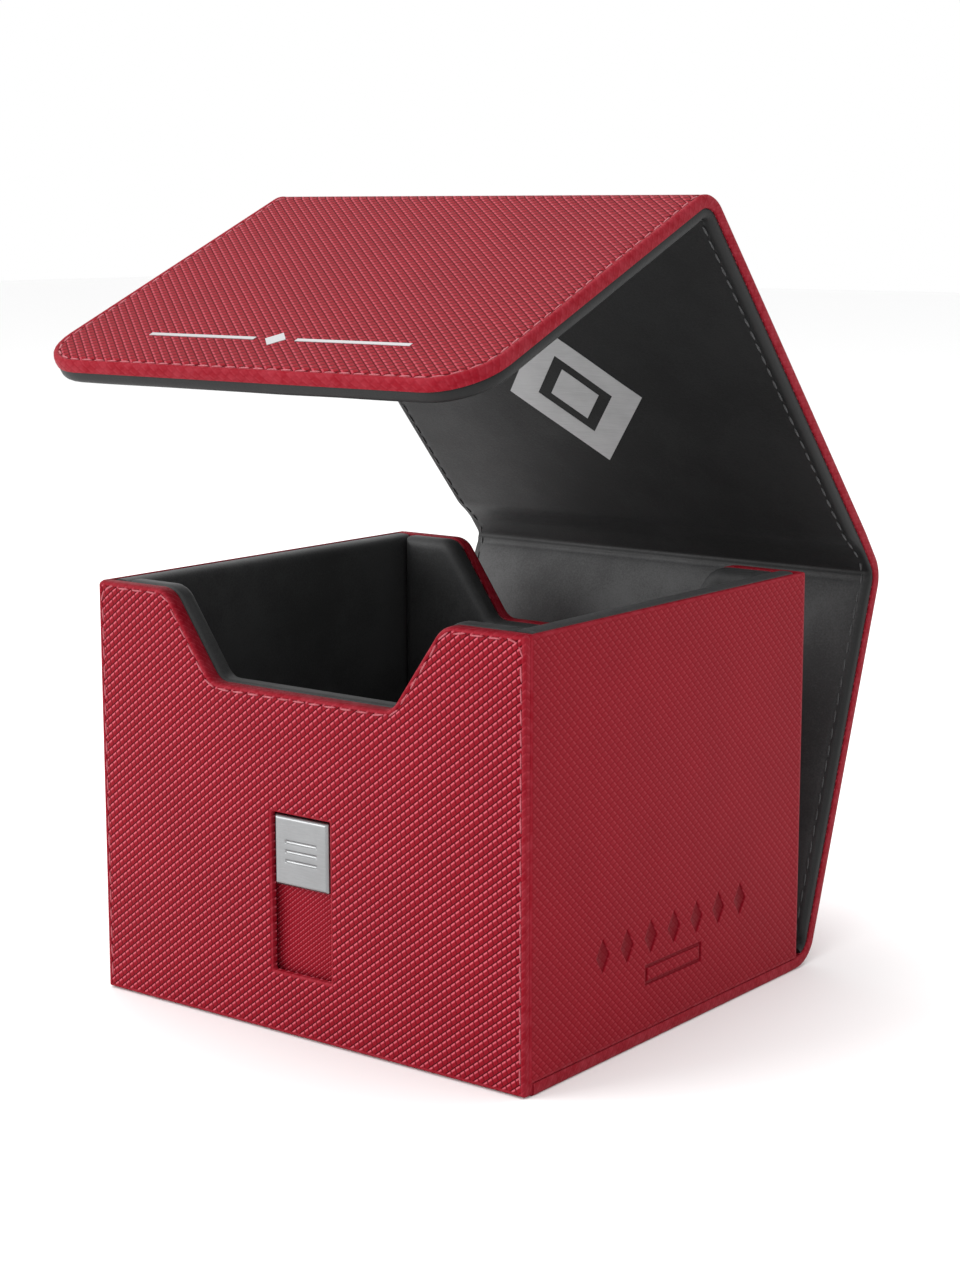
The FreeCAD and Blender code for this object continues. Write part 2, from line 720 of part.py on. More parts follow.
ornament_y = "flap_length - ornament_edge"
foil_z = ("-panel_skin - foil_thickness", "-panel_skin")
bars = []
for name, start, end in (
    ("left", "-ornament_length / 2", "-ornament_height"),
    ("right", "ornament_height", "ornament_length / 2"),
):
    y = (ornament_y + " - ornament_line / 2", ornament_y + " + ornament_line / 2")
    bars.append(box("ornament_bar_" + name, (start, end), y, foil_z))
diamond = new_body("ornament_diamond")
half = "ornament_height / 2"
corners = [
    (half, ornament_y),
    ("0", "%s + %s" % (ornament_y, half)),
    ("-" + half, ornament_y),
    ("0", "%s - %s" % (ornament_y, half)),
]
pad(diamond, "diamond_pad", outline(diamond, "diamond_outline", "XY", corners, foil_z[0]), "foil_thickness")
on_panel(gather("flap_ornament", bars + [diamond]), "flap")

# ---------------------------------------------------------------- checks, then one file for each piece
doc.recompute()
for thing in doc.Objects:
    faults = [state for state in thing.State if state in ("Invalid", "Error")]
    if faults:
        raise RuntimeError("%s is %s" % (thing.Name, ", ".join(faults)))
for piece in pieces:
    if piece.Shape.isNull() or not piece.Shape.isValid() or piece.Shape.Volume <= 0:
        raise RuntimeError(piece.Label + " has no sound shape")

os.makedirs("parts", exist_ok=True)
for piece in pieces:
    piece.Shape.exportStep("parts/%s.step" % piece.Label)
print("%d pieces written" % len(pieces))
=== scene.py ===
"""Looks for the card deck box: leatherette wrap, suede padding, stitching, metal slide and foil.

Lengths inside this file are in millimetres unless a name says otherwise; meshes are written in metres.
"""

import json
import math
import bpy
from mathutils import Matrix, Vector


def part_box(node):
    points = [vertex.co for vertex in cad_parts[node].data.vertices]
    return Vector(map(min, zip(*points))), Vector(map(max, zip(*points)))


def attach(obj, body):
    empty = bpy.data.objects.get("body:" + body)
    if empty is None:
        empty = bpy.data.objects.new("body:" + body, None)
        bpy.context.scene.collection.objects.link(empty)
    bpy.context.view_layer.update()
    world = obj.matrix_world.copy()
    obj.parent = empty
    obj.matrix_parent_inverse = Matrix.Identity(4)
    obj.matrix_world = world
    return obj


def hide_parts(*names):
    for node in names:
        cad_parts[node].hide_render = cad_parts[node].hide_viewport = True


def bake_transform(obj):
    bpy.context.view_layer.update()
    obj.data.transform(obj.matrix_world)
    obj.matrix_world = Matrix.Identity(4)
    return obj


bl_info = {
    "name": "Card deck box",
    "version": (1, 0, 0),
    "blender": (4, 5, 0),
    "location": "3D View > Sidebar > Deck box",
    "description": "Builds the leatherette, padding, stitching, slide and foil of a card deck box around its CAD frame",
    "category": "Object",
}

import bmesh
import bpy
from bpy.props import FloatProperty, FloatVectorProperty, IntProperty, PointerProperty
from mathutils import Matrix, Vector, noise
from mathutils.geometry import tessellate_polygon

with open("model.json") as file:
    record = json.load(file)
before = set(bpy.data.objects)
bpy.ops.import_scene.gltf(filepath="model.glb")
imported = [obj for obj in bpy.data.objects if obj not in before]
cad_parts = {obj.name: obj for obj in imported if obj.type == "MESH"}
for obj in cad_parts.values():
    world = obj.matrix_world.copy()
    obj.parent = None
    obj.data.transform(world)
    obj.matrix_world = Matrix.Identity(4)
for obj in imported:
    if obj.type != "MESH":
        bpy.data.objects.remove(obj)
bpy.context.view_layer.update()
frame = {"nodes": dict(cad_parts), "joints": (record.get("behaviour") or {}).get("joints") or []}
MM = 0.001
CLOTH_UV = "cloth"
RUB_AND_RIM_SHADE = "rub"
FACE_WAY = "face_way"

JOINTS = {j["name"]: j for j in frame["joints"]}


def box_mm(node):
    """Lowest and highest corner of a CAD node, in millimetres."""
    low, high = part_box(node)
    return low / MM, high / MM


def fold_mm(joint):
    """Where a fold's axis crosses the y-z plane, in millimetres."""
    _, y, z = JOINTS[joint]["pos_m"]
    return Vector((y, z)) / MM


# ---------------------------------------------------------------- settings


def length(name, millimetres, description):
    """A size shown in the scene's units."""
    return FloatProperty(name=name, description=description, default=millimetres * MM, unit="LENGTH")


def colour(name, default, description):
    return FloatVectorProperty(name=name, description=description, default=default, subtype="COLOR")


def angle(name, degrees, description):
    return FloatProperty(name=name, description=description, default=math.radians(degrees), subtype="ANGLE")


class DeckBoxCover(bpy.types.PropertyGroup):
    """Sizes of the wrap that makes the back, the top and the flap"""

    skin: length("Leather side", 2.5, "Thickness of the leatherette side of the cover")
    pad: length("Padded side", 2.5, "Thickness of the padded side of the cover")
    pad_inset: length("Padding inset", 0.4, "How far the padding stops short of the leather edge")
    fold_round: length("Fold round", 4.6, "Radius of the cover's middle line at a fold")
    fold_pinch: FloatProperty(
        name="Fold pinch", description="Share of the padding that a fold presses flat", default=0.66, min=0, max=0.9
    )
    corner: length("Flap corner", 11.5, "Radius of the flap's free corners")


class DeckBoxSeam(bpy.types.PropertyGroup):
    """Sizes of the stitched edges"""

    inset: length("Cover seam inset", 1.45, "Distance from the cover's edge to the stitch line")
    tray_inset: length("Tray seam inset", 1.1, "Distance from an end wall's edge to the stitch line")
    cover_pitch: length("Cover pitch", 3.3, "Distance between stitches on the cover")
    tray_pitch: length("Tray pitch", 3.8, "Distance between stitches on the end walls")
    stitch_share: FloatProperty(
        name="Stitch share", description="Stitch length as a share of the pitch", default=0.8, min=0.3, max=1
    )
    thread: length("Thread", 0.42, "Width of the thread")
    groove: length("Groove", 0.32, "How deep the seam pulls the leather in")
    seed: IntProperty(name="Seed", description="Seed for the unevenness of the stitches", default=7)


class DeckBoxCloth(bpy.types.PropertyGroup):
    """Weave and colours of the materials"""

    weave_scale: FloatProperty(
        name="Weave scale", description="Size of the embossed weave, where 1 is its own size", default=1, min=0.2, max=5
    )
    relief: length("Relief", 0.09, "Height of the embossed weave")
    red: colour("Leatherette", (0.212, 0.0034, 0.0105), "Colour of the leatherette")
    # The groove colour is painted shade between the ridges; the crest colour is a painted highlight on the ridges'
    # upper flanks, and rubbed edges also lighten towards it.
    painted_groove_shade: colour("Groove", (0.06, 0.0008, 0.003), "Colour between the ridges")
    painted_crest_highlight_and_rub: colour("Crest", (0.49, 0.088, 0.118), "Colour on the ridges")
    charcoal: colour("Suede", (0.0118, 0.0119, 0.0121), "Colour of the suede padding")


class DeckBoxStage(bpy.types.PropertyGroup):
    """Camera"""

    lens: FloatProperty(name="Lens", description="Focal length in millimetres", default=67.9)
    azimuth: angle("Azimuth", 37.507, "Where the camera stands round the box")
    elevation: angle("Elevation", 10.051, "How high the camera looks down")


# ---------------------------------------------------------------- mesh helpers


def finish_mesh(name, verts, faces, uvs, rub, material, sharp=38.0):
    """A closed mesh with outward faces, its cloth coordinates and its rubbed-edge mask."""
    mesh = bpy.data.meshes.new(name)
    mesh.from_pydata([Vector(v) * MM for v in verts], [], faces)
    layer = mesh.uv_layers.new(name=CLOTH_UV)
    for loop in mesh.loops:
        layer.data[loop.index].uv = (uvs[loop.vertex_index][0] * MM, uvs[loop.vertex_index][1] * MM)
    mask = mesh.attributes.new(RUB_AND_RIM_SHADE, "FLOAT", "POINT")
    mask.data.foreach_set("value", rub)
    shell = bmesh.new()
    shell.from_mesh(mesh)
    bmesh.ops.recalc_face_normals(shell, faces=shell.faces)
    shell.to_mesh(mesh)
    shell.free()
    mesh.shade_smooth()
    mesh.set_sharp_from_angle(angle=math.radians(sharp))
    mesh.materials.append(material)
    piece = bpy.data.objects.new(name, mesh)
    bpy.context.scene.collection.objects.link(piece)
    return piece


def smooth(t):
    """Eases from 0 to 1 as t does."""
    t = min(1.0, max(0.0, t))
    return t * t * (3 - 2 * t)


def rounded(corners, inset=0.0, step=0.8, segments=7):
    """Points of a counter-clockwise outline moved inward by inset, with its corners rounded.

    The count of points doesn't depend on inset, so two such loops bridge one to one.
    """
    count = len(corners)
    points = [Vector(c[:2]) for c in corners]
    ways = [(points[(i + 1) % count] - points[i]).normalized() for i in range(count)]
    normals = [Vector((-w.y, w.x)) for w in ways]

    def arc_ends(shift):
        made = []
        for i in range(count):
            before, after = ways[i - 1], ways[i]
            turn = math.atan2(before.cross(after), before.dot(after))
            bisector = (normals[i - 1] + normals[i]).normalized()
            corner = points[i] + bisector * (shift / max(0.2, bisector.dot(normals[i])))
            radius = max(0.02, corners[i][2] - math.copysign(shift, turn))
            reach = radius * math.tan(abs(turn) / 2)
            centre = corner - before * reach + normals[i - 1] * math.copysign(radius, turn)
            made.append((corner - before * reach, corner + after * reach, centre, turn))
        return made

    base, moved = arc_ends(0.0), arc_ends(inset)
    loop = []
    for i in range(count):
        start, end, centre, turn = moved[i]
        for k in range(segments + 1):
            spoke = start - centre
            spoke.rotate(Matrix.Rotation(turn * k / segments, 2))
            loop.append(centre + spoke)
        run = (base[(i + 1) % count][0] - base[i][1]).length
        pieces = max(1, round(run / step))
        goal = moved[(i + 1) % count][0]
        loop.extend(end.lerp(goal, k / pieces) for k in range(1, pieces))
    return loop


def run_lengths(loop):
    """Length along a closed loop at each point, and the whole length."""
    total, made = 0.0, []
    for i, point in enumerate(loop):
        made.append(total)
        total += (loop[(i + 1) % len(loop)] - point).length
    return made, total


def bridge(faces, rings):
    """Walls between neighbouring closed rings that have the same count of points."""
    for low, high in zip(rings, rings[1:]):
        for i in range(len(low)):
            j = (i + 1) % len(low)
            faces.append((low[i], low[j], high[j], high[i]))


def plate(name, corners, edge, place, material, recesses=(), seam=None, step=0.8):
    """A board wrapped in cloth: an outline with a shaped edge, and recesses in its face.

    edge lists (inset, height, rub) from the hidden back to the face. seam(i, point, inset) gives how far
    the stitched groove is pulled in there. Each recess is (corners, edge, corners of any
    island in it), and its edge ends on the recess floor.
    """
    verts, faces, uvs, rub = [], [], [], []
    travelled = [0.0]
    for (a, h, _), (b, k, _) in zip(edge, edge[1:]):
        travelled.append(travelled[-1] + math.hypot(b - a, k - h))
    last = edge[-1][0]

    def ring(outline, inset, height, worn, spread, pull=None):
        start = len(verts)
        points = rounded(outline, inset, step)
        cloth = rounded(outline, spread, step)
        for i, (point, at) in enumerate(zip(points, cloth)):
            dip = pull(i, point, inset) if pull else 0.0
            verts.append(place(point.x, point.y, height - dip))
            uvs.append((at.x, at.y))
            rub.append(worn)
        return list(range(start, len(verts)))

    def fill(loops):
        """A flat face inside the first loop, with the others as its holes."""
        if len(loops) == 1:
            faces.append(tuple(loops[0]))
            return
        order = [i for loop in loops for i in loop]
        flat = [[Vector((*uvs[i], 0)) for i in loop] for loop in loops]
        faces.extend(tuple(order[i] for i in face) for face in tessellate_polygon(flat))

    rings = [
        ring(corners, inset, height, worn, last - (travelled[-1] - run), seam)
        for (inset, height, worn), run in zip(edge, travelled)
    ]
    bridge(faces, rings)
    fill(rings[:1])
    holes = []
    for outline, steps, *islands in recesses:
        floor = []
        for shape, sign in ((outline, 1), *((island, -1) for island in islands)):
            loops = [ring(shape, inset * sign, height, worn, inset * sign) for inset, height, worn in steps]
            bridge(faces, loops)
            if sign > 0:
                holes.append(loops[0])
            else:
                fill(loops[:1])
            floor.append(loops[-1])
        fill(floor)
    fill([rings[-1], *holes])
    return finish_mesh(name, verts, faces, uvs, rub, material)


def fit(piece, nodes=(), body=None, bend=None):
    """Hides the CAD nodes that a piece stands for, and ties it to the body it moves with; a piece on a bend is only
    fixed in place where it stands.
    """
    if nodes:
        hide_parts(*nodes)
    if body:
        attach(piece, body)
    else:
        bodies, start, end = bend
        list(bodies)
        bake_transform(piece)
        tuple(start)
        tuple(end)


# ---------------------------------------------------------------- the wrap's line

TIGHTEST = 0.5  # smallest radius of any layer at a fold
FOLD_WIDTH = 3.2  # how far from a fold its pinch is felt
FOLD_SHARES = {"rear": 0.9, "low": 0.45, "front": 0.3}
SOFT_STRIP_PINCH = 0.95
PAD_FILL = 0.97  # thickness of the finished padding, as a share of the cut one
PAD_CROWN = 0.16
PAD_UNEVEN = 0.09
LAYER_SPARE, LINE_SPARE = 0.5, 0.2  # straight run kept past the bend of the layers and of the middle line
BASE_END = 3.2  # where the flat part under the box ends, before the rear fold


class Wrap:
    """The cover's middle line in the y-z plane: straight panels joined by rounded folds.

    s is the length along it, and d the distance from it, positive on the padded side.
    """

    def __init__(self, settings):
        rear = fold_mm("rear_fold_hinge")
        low = fold_mm("lower_crease_hinge")
        high = fold_mm("upper_crease_hinge")
        front = fold_mm("front_fold_hinge")
        base_low, base_high = box_mm("base_skin")
        base_top = base_high.z
        top_way = (front - high).normalized()
        shut_turn = math.radians(90 + JOINTS["front_fold_hinge"]["range_deg"][0])
        flap_way = top_way.copy()
        flap_way.rotate(Matrix.Rotation(shut_turn, 2))
        reach = max(
            (Vector((v.co.y, v.co.z)) / MM - front).dot(flap_way)
            for v in frame["nodes"]["flap_cover_skin"].data.vertices
        )
        self.points = [
            Vector((base_low.y, base_top)),
            Vector((base_high.y - BASE_END, base_top)),
            rear,
            low,
            high,
            front,
            front + flap_way * reach,
        ]
        self.ways = [(b - a).normalized() for a, b in zip(self.points, self.points[1:])]
        self.marks = [0.0]
        for a, b in zip(self.points, self.points[1:]):
            self.marks.append(self.marks[-1] + (b - a).length)
        self.base_end, self.rear, self.low, self.high, self.front, self.end = self.marks[1:]
        self.half = base_high.x
        self.round = settings.fold_round / MM
        self.pad = settings.pad / MM
        self.pinch = settings.fold_pinch

    def radius(self, d):
        return max(TIGHTEST, self.round - d)

    def at(self, s, d):
        """The point (y, z) at length s and distance d."""
        for i in range(1, len(self.marks) - 1):
            before, after = self.ways[i - 1], self.ways[i]
            turn = math.atan2(before.cross(after), before.dot(after))
            half = math.tan(turn / 2)
            span = max(self.pad + LAYER_SPARE + TIGHTEST, self.round + LINE_SPARE) * half
            mark = self.marks[i]
            if abs(s - mark) >= span:
                continue
            corner, radius = self.points[i], self.radius(d)
            n1 = Vector((-before.y, before.x))
            n2 = Vector((-after.y, after.x))
            straight = span - (d + radius) * half
            total = 2 * straight + radius * turn
            run = (s - mark + span) / (2 * span) * total
            if run < straight:
                return corner + before * (run - span) + n1 * d
            if run > total - straight:
                return corner + after * (span - (total - run)) + n2 * d
            spoke = -n1 * radius
            spoke.rotate(Matrix.Rotation((run - straight) / radius, 2))
            bisector = (n1 + n2).normalized()
            return corner + bisector * ((d + radius) / math.cos(turn / 2)) + spoke
        i = max(0, sum(1 for mark in self.marks[1:-1] if s > mark))
        way = self.ways[i]
        return self.points[i] + way * (s - self.marks[i]) + Vector((-way.y, way.x)) * d

    def place(self, x, s, d):
        y, z = self.at(s, d)
        return (x, y, z)

    def near_fold(self, s):
        """How much of the pinch applies: most over the soft strip, so that it clears the back wall when shut."""
        here = max(
            share * math.exp(-(((s - getattr(self, mark)) / FOLD_WIDTH) ** 2)) for mark, share in FOLD_SHARES.items()
        )
        run, whole = s - self.low, self.high - self.low
        rise = smooth((run + 1.5) / 3.0)
        fall = 1.0 - smooth((run - 0.55 * whole) / (0.45 * whole + 4.0))
        return max(here, SOFT_STRIP_PINCH * rise * fall)

    def stations(self, start, end, step=0.9, fine=0.35):
        """Lengths to put a cross-section at: close together at the folds."""
        made, s = [start], start
        while s < end - 1e-6:
            close = min(abs(s - mark) for mark in self.marks[1:-1])
            s += fine if close < 4.5 else step
            made.append(min(s, end))
        return made

    def padding_face(self, x, s):
        """Distance of the shown suede from the middle line: crowned, a little uneven, pinched at the folds."""
        crown = PAD_CROWN * (1 - min(1.0, abs(x) / self.half) ** 4)
        uneven = PAD_UNEVEN * noise.noise(Vector((x, s, 3.0)) * 0.07)
        return (self.pad * PAD_FILL + crown + uneven) * (1 - self.pinch * self.near_fold(s))

    def bend(self, bodies, fold, reach):
        """The bodies that a fold joins, and the start and end of the bend between them, in metres."""
        ends = []
        for way in (-reach, reach):
            y, z = self.at(getattr(self, fold) + way, 0.0)
            ends.append((0.0, y * MM, z * MM))
        return (bodies, *ends)


def half_outline(stations, half, inset, end=None, corner=0.0, arc=9):
    """The right-hand edge (x, s) of a strip at each row, moved in by inset, round the free corner too."""
    if end is None:
        return [Vector((half - inset, s)) for s in stations]
    edge = [Vector((half - inset, s)) for s in stations if s < end - corner - 1e-6]
    radius = max(0.05, corner - inset)
    centre = Vector((half - inset - radius, end - inset - radius))
    for k in range(arc + 1):
        turn = math.pi / 2 * k / arc
        edge.append(centre + Vector((math.cos(turn), math.sin(turn))) * radius)
    return edge


def strip(name, wrap, stations, edge, material, half, face, end=None, corner=0.0, across=14, groove=None):
    """One length of the cover, as a closed skin that follows the wrap's line.

    edge lists (inset, share, rub), where share runs from 1 on the shown face to 0 on the glued one, which
    is the middle line. face(x, s) gives the shown face's distance d. groove(run, inset) is the stitched
    pull. A strip with an end is closed round its free corners there.
    """
    insets = [inset for inset, _, _ in edge]
    travelled = [0.0]
    thick = face(0, stations[0])
    for (a, h, _), (b, k, _) in zip(edge, edge[1:]):
        travelled.append(travelled[-1] + math.hypot(b - a, (k - h) * thick))
    sides = [half_outline(stations, half, inset, end, corner) for inset in insets]
    cloth = [half_outline(stations, half, insets[0] - run, end, corner) for run in travelled]
    runs = [0.0]
    for a, b in zip(sides[0], sides[0][1:]):
        runs.append(runs[-1] + (b - a).length)
    verts, faces, uvs, rub = [], [], [], []

    def put(j, x, s, u, v, run=None):
        """A point on edge line j, pulled in if a run along the seam is given."""
        _, share, worn = edge[j]
        pull = groove(run, insets[j]) if groove and run is not None else 0.0
        verts.append(wrap.place(x, s, face(x, s) * share - math.copysign(pull, thick)))
        uvs.append((u, v))
        rub.append(worn)
        return len(verts) - 1

    fractions = [k / across for k in range(-across, across + 1)]
    inner = range(1, len(edge) - 1)
    rings = []
    for i, run in enumerate(runs):
        ring = []
        for j, order, side in ((0, fractions, 1), (-1, fractions[::-1], -1)):
            x, s = sides[j][i]
            ring.extend(put(j, x * f, s, x * f, s) for f in order)
            for k in inner if side > 0 else reversed(inner):
                (x, s), (u, v) = sides[k][i], cloth[k][i]
                ring.append(put(k, x * side, s, u * side, v, run))
        rings.append(ring)
    bridge(faces, rings)
    faces.append(tuple(rings[0]))
    if end is None:
        faces.append(tuple(rings[-1]))
    else:
        wide, deep, ring = len(fractions), len(inner), rings[-1]
        tip = sides[0][-1].x
        columns = [[ring[0], *(ring[2 * (wide + deep) - 1 - j] for j in range(deep)), ring[2 * wide + deep - 1]]]
        for c in range(1, wide - 1):
            f = fractions[c]
            run = runs[-1] + abs(1 - f) * tip
            edge_points = [put(j, tip * f, sides[j][-1].y, tip * f, cloth[j][-1].y, run) for j in inner]
            columns.append([ring[c], *edge_points, ring[2 * wide + deep - 1 - c]])
        columns.append(ring[wide - 1 : wide + deep + 1])
        for left, right in zip(columns, columns[1:]):
            for j in range(len(left) - 1):
                faces.append((left[j], right[j], right[j + 1], left[j + 1]))
    return finish_mesh(name, verts, faces, uvs, rub, material)


# ---------------------------------------------------------------- shader helpers


class Value:
    """A socket's value, which changes over the surface. Arithmetic on it adds Math nodes to its tree."""

    def __init__(self, socket):
        self.socket = socket

    def maths(self, operation, other=None, first=False, clamp=False):
        node = self.socket.id_data.nodes.new("ShaderNodeMath")
        node.operation, node.use_clamp = operation, clamp
        for value, target in zip((other, self) if first else (self, other), node.inputs):
            link(value, target)
        return Value(node.outputs[0])

    def __add__(self, other):
        return self.maths("ADD", other)

    def __sub__(self, other):
        return self.maths("SUBTRACT", other)

    def __rsub__(self, other):
        return self.maths("SUBTRACT", other, first=True)

    def __mul__(self, other):
        return self.maths("MULTIPLY", other)

    def __truediv__(self, other):
        return self.maths("DIVIDE", other)


def link(source, target):
    """Joins a value to an input, or sets the input to a number or colour."""
    if isinstance(source, Value):
        target.id_data.links.new(source.socket, target)
    elif source is not None:
        target.default_value = (*source, 1.0) if target.type == "RGBA" and len(source) == 3 else source


def add_node(tree, kind, inputs=(), output=0, **settings):
    """A node with its settings and inputs filled; returns one of its outputs."""
    node = tree.nodes.new(kind)
    for name, value in settings.items():
        setattr(node, name, value)
    for name, value in dict(inputs).items():
        link(value, node.inputs[name])
    return Value(node.outputs[output])


def ramp(value, low, high, start=0.0, end=1.0):
    """Maps value from low..high to start..end, smoothly and clamped."""
    limits = {"Value": value, "From Min": low, "From Max": high, "To Min": start, "To Max": end}
    return add_node(value.socket.id_data, "ShaderNodeMapRange", limits, interpolation_type="SMOOTHSTEP")


def mix(share, a, b):
    """A colour mix: a where share is 0, b where it is 1."""
    return add_node(share.socket.id_data, "ShaderNodeMix", {0: share, 6: a, 7: b}, 2, data_type="RGBA")


def grain(where, scale, detail=2.0, rough=0.5):
    """Noise, from 0 to 1."""
    inputs = {"Vector": where, "Scale": scale, "Detail": detail, "Roughness": rough}
    return add_node(where.socket.id_data, "ShaderNodeTexNoise", inputs)


def split(vector):
    """The x and y of a vector."""
    node = vector.socket.id_data.nodes.new("ShaderNodeSeparateXYZ")
    link(vector, node.inputs[0])
    return Value(node.outputs[0]), Value(node.outputs[1])


def once(kind):
    """Makes a named material or node group only when the file has none of that name yet."""

    def wrap(make):
        def find_or_make(name, *values, **settings):
            return getattr(bpy.data, kind).get(name) or make(name, *values, **settings)

        return find_or_make

    return wrap


def new_group(name, inputs, outputs, kind="ShaderNodeTree"):
    """A node group with named inputs (name to socket type) and outputs; returns it, its inputs and outputs."""
    tree = bpy.data.node_groups.new(name, kind)
    for sockets, way in ((inputs, "INPUT"), (outputs, "OUTPUT")):
        for label, socket in sockets.items():
            tree.interface.new_socket(label, in_out=way, socket_type=f"NodeSocket{socket}")
    given = tree.nodes.new("NodeGroupInput").outputs
    return tree, {label: Value(given[label]) for label in inputs}, tree.nodes.new("NodeGroupOutput").inputs


@once("node_groups")
def weave_group(name):
    """Embossed diagonal weave: ridges crossed by threads that step sideways from one ridge to the next; besides the
    height it gives a mask of painted highlight on each ridge's upper flank, and one of painted shade in the grooves and
    thread gaps.
    """
    sizes = ("Ridge Pitch", "Thread Pitch", "Slope", "Step", "Lean", "Ridge Weight", "Gap Weight")
    inputs = {"Cloth": "Vector", **dict.fromkeys(sizes, "Float")}
    tree, given, out = new_group(name, inputs, dict.fromkeys(("Height", "Crest", "Groove", "Tone"), "Float"))
    u, v = split(given["Cloth"])
    sine, cosine = given["Slope"].maths("SINE"), given["Slope"].maths("COSINE")
    along = u * cosine + v * sine
    over = v * cosine - u * sine
    wobble = (grain(given["Cloth"], 260.0, 1.0) - 0.5) * 0.05
    rows = over / given["Ridge Pitch"] + wobble
    share = rows.maths("FRACT")
    across = (share * 2.0 - 1.0).maths("ABSOLUTE")
    ridge = 1.0 - across.maths("POWER", 6.0)
    tilted = ridge * (share * 0.14 + 0.86)
    stepped = rows.maths("FLOOR") * given["Step"]
    leaned = (share - 0.5) * given["Lean"]
    twist = along / given["Thread Pitch"] + (stepped + leaned)

    def gap_between(turns, start):
        """1 between two threads, falling to 0 over each thread."""
        return ramp((turns.maths("FRACT") * 2.0 - 1.0).maths("ABSOLUTE"), start, 0.98)

    wide = gap_between(twist, 0.5)
    fine = gap_between(twist * 2.0, 0.55)
    link(tilted * (1.0 - (wide * 0.38 + fine * 0.14)), out["Height"])
    # Painted highlight: a lighter band on each ridge's upper flank, broken where the threads cross.
    band = ramp(share, 0.6, 0.76) * ramp(share, 0.86, 0.94, 1.0, 0.0)
    link(band * (1.0 - wide), out["Crest"])
    # Painted shade: darker in the grooves between the ridges and in the gaps between the threads.
    groove = ramp(across, 0.74, 0.93) * given["Ridge Weight"]
    gap = wide * (given["Gap Weight"] * ramp(share, 0.0, 0.5, 0.6, 1.0))
    link((groove + gap).maths("ADD", fine * 0.16, clamp=True), out["Groove"])
    link(grain(given["Cloth"], 55.0, 3.0), out["Tone"])
    return tree


@once("node_groups")
def nap_group(name):
    """Short suede nap: fine fibres and broad brushed patches."""
    tree, given, out = new_group(name, {"Place": "Vector"}, {"Height": "Float", "Tone": "Float"})
    fibres = grain(given["Place"], FIBRE_SCALE, 3.0)
    link(fibres * 0.6 + grain(given["Place"], 900.0) * 0.4, out["Height"])
    brushed = grain(given["Place"], 45.0, 3.0, 0.6)
    link(brushed.maths("ADD", (fibres - 0.5) * 0.6, clamp=True), out["Tone"])
    return tree


@once("node_groups")
def rub_group(name):
    """Where edges are rubbed: the edge mask broken up by grain."""
    inputs = {"Mask": "Float", "Place": "Vector", "Amount": "Float"}
    tree, given, out = new_group(name, inputs, {"Rub": "Float"})
    patchy = ramp(grain(given["Place"], 380.0, 4.0, 0.65), 0.32, 0.7)
    link(given["Mask"] * patchy * given["Amount"], out["Rub"])
    return tree


def use_group(tree, group, **values):
    """Places a node group and fills its inputs; returns its outputs by name."""
    node = tree.nodes.new("ShaderNodeGroup")
    node.node_tree = group
    for label, value in values.items():
        link(value, node.inputs[label.replace("_", " ")])
    return {socket.name: Value(socket) for socket in node.outputs}


def new_material(name):
    """A material; returns it, its tree, the Principled shader's inputs and the Object coordinates."""
    material = bpy.data.materials.new(name)
    material.use_nodes = True
    tree = material.node_tree
    where = add_node(tree, "ShaderNodeTexCoord", output="Object")
    return material, tree, tree.nodes["Principled BSDF"].inputs, where


def bump(height, distance, target):
    inputs = {"Height": height, "Distance": distance, "Strength": 1.0}
    link(add_node(height.socket.id_data, "ShaderNodeBump", inputs), target)


def cloth_place(tree):
    """The piece's own cloth coordinates, in metres along the cloth."""
    return add_node(tree, "ShaderNodeUVMap", uv_map=CLOTH_UV)


def edge_mask(tree):
    """The rub attribute: above 0 where an edge is rubbed, and below 0 on the floors of pressed marks, which it darkens,
    and on the cover padding's rim, where it is painted shade.
    """
    mask = add_node(tree, "ShaderNodeAttribute", output="Fac", attribute_name=RUB_AND_RIM_SHADE)
    return mask, (mask * -1.0).maths("MAXIMUM", 0.0)


def scaled(colour, by):
    return [c * by for c in colour]


# ---------------------------------------------------------------- materials

FIBRE_SCALE = 2600.0
RED_THREAD = ("red thread", (0.27, 0.022, 0.034), (0.42, 0.07, 0.095))
DARK_THREAD = ("dark grey thread", (0.02, 0.0205, 0.021), (0.055, 0.056, 0.058))

# Embossed weaves: the ridges' slope in degrees, the pitches in millimetres, each ridge's step and lean as shares of the
# thread pitch, then how strongly the parts show: the relief, the painted shade and highlight overall, the painted
# highlight on the ridges' upper flanks, and the painted shade in the grooves and in the thread gaps.
WEAVES = {
    "cover": dict(
        slope=40.5, ridge=1.447, thread=1.62, step=0.04, lean=0.38, painted_contrast=0.9, crest=0.55, groove_shade=0.85, gap_shade=1.15
    ),
    "end wall": dict(slope=37.7, ridge=1.284, thread=1.324, step=0.251, lean=-0.249),
    "side wall": dict(
        slope=42.2,
        ridge=1.345,
        thread=1.348,
        step=0.0935,
        lean=0.55,
        relief=0.4,
        painted_contrast=0.3,
        crest=0.5,
        groove_shade=0.65,
        gap_shade=0.9,
    ),
    "channel": dict(slope=37.7, ridge=0.8, thread=0.82, step=0.251, lean=-0.249, relief=0.55, painted_contrast=0.6),
}
STRENGTHS = dict(relief=1.0, painted_contrast=1.0, crest=1.0, groove_shade=1.0, gap_shade=0.6)


